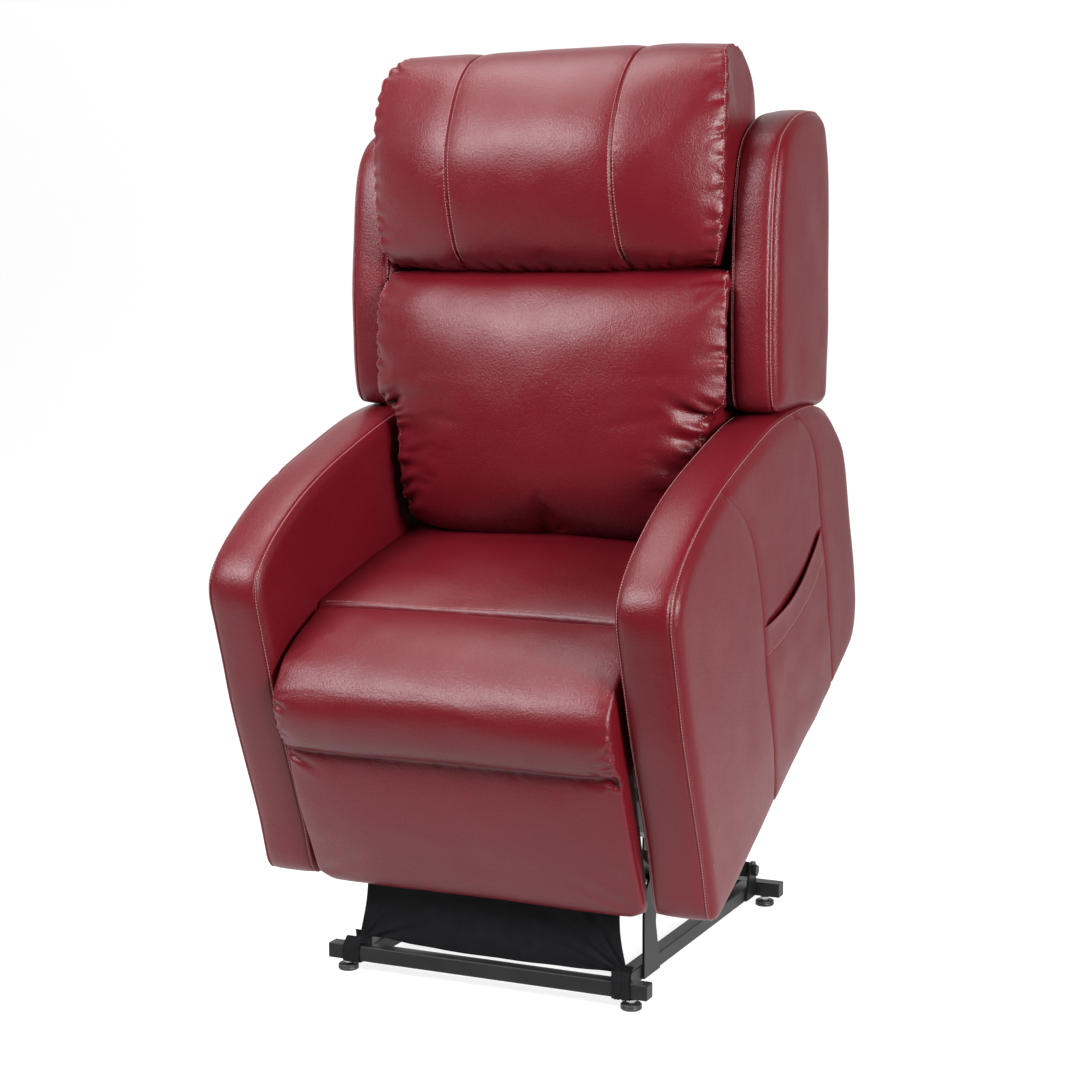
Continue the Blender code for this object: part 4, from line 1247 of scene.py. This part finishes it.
def stitch_cushions(thread, head, lumbar):
    """A row each side of the head cushion's upright seams, and one along each cushion's side seams."""
    tree = tree_of(head)
    centre = from_back(np.array([[0, -0.12, 0.68]]))[0]
    forward = from_back(np.array([[0, 1, 0]]))[0] - from_back(np.array([[0, 0, 0]]))[0]
    for way in (-1.0, 1.0):
        zs = np.arange(0.512, 0.846, 0.004)
        xs = head_seam(zs)
        for side in (-1.0, 1.0):
            starts = np.stack([way * xs + side * 0.0042, np.full(len(zs), -0.5), zs], axis=1)
            thread.run(tree, cast(tree, from_back(starts), forward), centre)
        edge = rim_line(HEAD_END, 0, 9, way)
        thread.run(tree, from_back(edge + [way * -0.0035, -0.002, 0]), centre)
    tree = tree_of(lumbar)
    centre = from_back(np.array([[0, -0.12, 0.28]]))[0]
    for way in (-1.0, 1.0):
        edge = rim_line(LUMBAR_END, 0, 10, way)
        thread.run(tree, from_back(edge + [way * -0.0035, -0.002, 0]), centre)


def stitch_seat(thread, seat):
    """The row along the seam between the seat and the front roll."""
    tree = tree_of(seat)
    xs = np.arange(-0.286, 0.2861, 0.004)
    line = from_chassis(np.stack([xs, np.full(len(xs), 0.2065), np.full(len(xs), 0.424)], axis=1))
    thread.run(tree, line, from_chassis(np.array([[0, 0.3, 0.30]]))[0])


# ---------------------------------------------------------------- base: cloth screen, straps, feet

SKIRT_Y = -0.2493
BAR_Y = -0.26596
CLOTH_THICKNESS = 0.0008
STRAP_THICKNESS = 0.0009
STRAP_COLUMNS = 16


def build_skirt():
    """The black screen, pulled towards its lower corners, so folds run out from them."""
    columns, rows = 150, 64
    u = np.linspace(-1.0, 1.0, columns)
    v = np.linspace(0.0, 1.0, rows)
    low_x = np.array([-1.0, -0.93, -0.80, -0.62, -0.35, 0.0, 0.35, 0.62, 0.80, 0.93, 1.0])
    low_z = np.array([0.047, 0.0535, 0.0555, 0.0520, 0.0485, 0.0475, 0.0480, 0.0490, 0.0500, 0.0495, 0.047])
    uu, vv = np.meshgrid(u, v)
    half = 0.2425 - 0.010 * np.sin(math.pi * np.clip(vv, 0, 1)) - 0.006 * vv
    x = uu * half
    bottom = np.interp(uu, low_x, low_z)
    z = bottom + (0.212 - bottom) * vv
    y = np.full_like(x, SKIRT_Y)
    for way in (-1.0, 1.0):
        dx, dz = way * 0.243 - x, z - 0.046
        r = np.hypot(dx, dz)
        angle = np.arctan2(dz, way * dx)
        fold = np.cos(angle * 15.0 + 0.8 * way) * 0.6 + np.cos(angle * 27.0 + 1.0) * 0.4
        y -= 0.0034 * fold * smoothstep(0.0, 0.035, r) * np.exp(-((r / 0.17) ** 2))
    y -= 0.0030 * np.cos(x * 21.0 + 3.0 * vv) * smoothstep(0.0, 0.3, vv)
    y -= 0.0012 * np.sin(x * 60.0 - 40.0 * z)
    front = np.stack([x, y, z], axis=2).reshape(-1, 3)
    points = np.concatenate([front, front + [0.0, CLOTH_THICKNESS, 0.0]])
    skirt = make_object("base_screen", points, layer_faces(rows, columns), LOOKS["black_cloth"])
    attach(skirt, "base")
    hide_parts("base_skirt")
    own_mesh(skirt)


def build_straps():
    """A cloth strap at each end of the screen, wrapped round the front bar beside the foot."""
    top, low, half = 0.0462, 0.0184, 0.0139
    path = [
        (-0.0065, 0.060), (-0.0115, 0.050), (-half, top), (-half - 0.0004, 0.032), (-half, low),
        (0.0, low - 0.0006), (half, low), (half + 0.0004, 0.032), (half, top), (half + 0.003, 0.054),
        (half + 0.0035, 0.064),
    ]
    line = even(spline(path, 8), 0.0018)
    side = np.gradient(line, axis=0)
    side /= np.linalg.norm(side, axis=1, keepdims=True)
    out = np.stack([-side[:, 1], side[:, 0]], axis=1)
    share = np.linspace(0, 1, len(line))
    for name, sign in SIDES:
        grid = np.zeros((len(line), STRAP_COLUMNS, 3))
        for i in range(STRAP_COLUMNS):
            x = 0.2235 + 0.030 * i / (STRAP_COLUMNS - 1) + 0.005 * np.sin(share * 6.0)
            pucker = 0.0007 * math.sin(i * 1.9) + 0.0004 * np.sin(share * 34.0 + i)
            grid[:, i, 0] = sign * x
            grid[:, i, 1] = BAR_Y + line[:, 0] + out[:, 0] * pucker
            grid[:, i, 2] = line[:, 1] + out[:, 1] * pucker
        inner = grid.copy()
        inner[:, :, 1:] -= STRAP_THICKNESS * out[:, None, :]
        points = np.concatenate([grid.reshape(-1, 3), inner.reshape(-1, 3)])
        faces = layer_faces(len(line), STRAP_COLUMNS)
        strap = make_object("strap_" + name, points, faces, LOOKS["black_cloth"])
        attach(strap, "base")


def lathe(name, profile, centre, look, lobes=0):
    """A solid round Z from (radius, height) pairs, bottom to top; lobes gives it that many flat sides."""
    count = 48
    angles = 2 * math.pi * np.arange(count) / count
    rings = []
    for r, z in profile:
        radius = np.full(count, r)
        if lobes:
            sector = (angles + math.pi / lobes) % (2 * math.pi / lobes) - math.pi / lobes
            radius = r * math.cos(math.pi / lobes) / np.cos(sector)
        rings.append(np.stack([centre[0] + radius * np.cos(angles), centre[1] + radius * np.sin(angles),
                               np.full(count, z)], axis=1))
    faces = []
    for j in range(len(rings) - 1):
        for i in range(count):
            k = (i + 1) % count
            faces.append((j * count + i, j * count + k, (j + 1) * count + k, (j + 1) * count + i))
    faces.append(tuple(reversed(range(count))))
    faces.append(tuple((len(rings) - 1) * count + i for i in range(count)))
    obj = make_object(name, np.concatenate(rings), faces, look)
    obj.data.shade_smooth()
    return obj


def crisp(obj):
    """Shades the sharper edges sharp."""
    smooth_below = math.radians(35.0)
    bm = bmesh.new()
    bm.from_mesh(obj.data)
    for edge in bm.edges:
        if len(edge.link_faces) == 2:
            edge.smooth = edge.calc_face_angle(0.0) < smooth_below
    bm.to_mesh(obj.data)
    bm.free()


def build_feet():
    """Each levelling foot: a plastic pad on the floor, a hexagon nut and a threaded stud."""
    pad = ((0.0125, 0.0), (0.0155, 0.0004), (0.0168, 0.0016), (0.0172, 0.0032), (0.0172, 0.0050),
           (0.0164, 0.0056), (0.0164, 0.0064), (0.0171, 0.0070), (0.0170, 0.0088), (0.0158, 0.0102),
           (0.0110, 0.0108), (0.0070, 0.0110))
    nut = ((0.0074, 0.0116), (0.0082, 0.0121), (0.0082, 0.0162), (0.0074, 0.0167))
    stud = [(0.0042, 0.0100)]
    for i in range(9):
        stud += [(0.0042, 0.0106 + i * 0.001), (0.0037, 0.0111 + i * 0.001)]
    stud += [(0.0042, 0.0193)]
    for end in ("front", "rear"):
        for name, _ in SIDES:
            node = "levelling_foot_" + end + "_" + name
            low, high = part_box(node)
            centre = ((low.x + high.x) / 2, (low.y + high.y) / 2)
            base = lathe("foot_pad_" + end + "_" + name, pad, centre, LOOKS["black_plastic"])
            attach(base, "base")
            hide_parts(node)
            for what, profile, lobes in (("nut", nut, 6), ("stud", stud, 0)):
                title = "_".join(("foot", what, end, name))
                piece = lathe(title, profile, centre, LOOKS["zinc"], lobes)
                crisp(piece)
                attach(piece, "base")


def dress_cad():
    """Gives each CAD node that stays in view the finish of its material slot."""
    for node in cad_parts.values():
        look = LOOKS[node.data.materials[0].name]
        node.data.materials.clear()
        node.data.materials.append(look)


# ---------------------------------------------------------------- floor, light, camera

def cyclorama():
    """A floor that curves up into a backdrop, a hair below the feet."""
    bend_start, bend_radius, half_width, below = 3.5, 3.0, 14.0, 0.0002
    profile = [(-9.0, 0.0), (bend_start, 0.0)]
    for i in range(1, 13):
        a = math.radians(90.0 * i / 12)
        profile.append((bend_start + bend_radius * math.sin(a), bend_radius * (1.0 - math.cos(a))))
    profile.append((bend_start + bend_radius, 9.0))
    points, faces = [], []
    for y, z in profile:
        points += [(-half_width, y, z - below), (half_width, y, z - below)]
    for i in range(len(profile) - 1):
        faces.append((2 * i, 2 * i + 1, 2 * i + 3, 2 * i + 2))
    mesh = bpy.data.meshes.new("backdrop")
    mesh.from_pydata(points, [], faces)
    mesh.polygons.foreach_set("use_smooth", [True] * len(mesh.polygons))
    mesh.materials.append(floor_material())
    obj = bpy.data.objects.new("backdrop", mesh)
    bpy.context.scene.collection.objects.link(obj)


def softbox(name, place, target, size, power, colour=(1.0, 1.0, 1.0)):
    """A rectangular light at a place, turned to face the target; power is in watts."""
    light = bpy.data.lights.new(name, "AREA")
    light.shape = "RECTANGLE"
    light.size, light.size_y = size
    light.energy = power
    light.color = colour
    obj = bpy.data.objects.new(name, light)
    obj.location = place
    obj.rotation_euler = (Vector(target) - Vector(place)).to_track_quat("-Z", "Y").to_euler()
    bpy.context.scene.collection.objects.link(obj)


def studio():
    """A pale studio lit by four softboxes."""
    cyclorama()
    world = bpy.data.worlds.new("studio")
    bpy.context.scene.world = world
    world.use_nodes = True
    world.node_tree.nodes["Background"].inputs["Color"].default_value = (1.0, 1.0, 1.0, 1.0)
    world.node_tree.nodes["Background"].inputs["Strength"].default_value = 0.03
    softbox("key", (-1.35, -2.4, 2.78), (0.0, 0.0, 0.8), (1.9, 1.6), 185.0, (0.94, 0.965, 1.0))
    softbox("right", (3.2, -1.7, 1.8), (0.3, 0.1, 0.7), (1.2, 1.6), 225.0)
    softbox("left", (-3.0, 0.2, 1.8), (-0.2, 0.0, 0.7), (1.6, 2.6), 8.0)
    softbox("overhead", (-0.8, -0.1, 3.6), (0.0, 0.0, 0.5), (2.0, 1.4), 62.0)
    bpy.context.scene.view_settings.view_transform = "Standard"


def camera():
    """The photo's view."""
    azimuth, pitch = math.radians(24.403), math.radians(6.553)
    data = bpy.data.cameras.new("camera")
    data.sensor_width = 36.0
    data.lens = 74.313
    data.clip_start, data.clip_end = 0.1, 60.0
    obj = bpy.data.objects.new("camera", data)
    obj.location = (1.5383, -3.4431, 1.1411)
    level = math.cos(pitch)
    ahead = Vector((-math.sin(azimuth) * level, math.cos(azimuth) * level, -math.sin(pitch)))
    obj.rotation_euler = ahead.to_track_quat("-Z", "Y").to_euler()
    bpy.context.scene.collection.objects.link(obj)
    bpy.context.scene.camera = obj


def build():
    dress_cad()
    chassis_thread, back_thread = Thread(), Thread()
    for name, sign in SIDES:
        stitch_arm(chassis_thread, build_arm(name, sign), sign)
        stitch_pocket(chassis_thread, build_pocket(name, sign), sign)
        stitch_wing(back_thread, build_wing(name, sign), sign)
    stitch_cushions(back_thread, build_head(), build_lumbar())
    stitch_seat(chassis_thread, build_seat())
    build_pad()
    build_back_panel()
    chassis_thread.done("stitches_on_chassis", "chassis")
    back_thread.done("stitches_on_back", "back")
    build_skirt()
    build_straps()
    build_feet()
    studio()
    camera()


build()
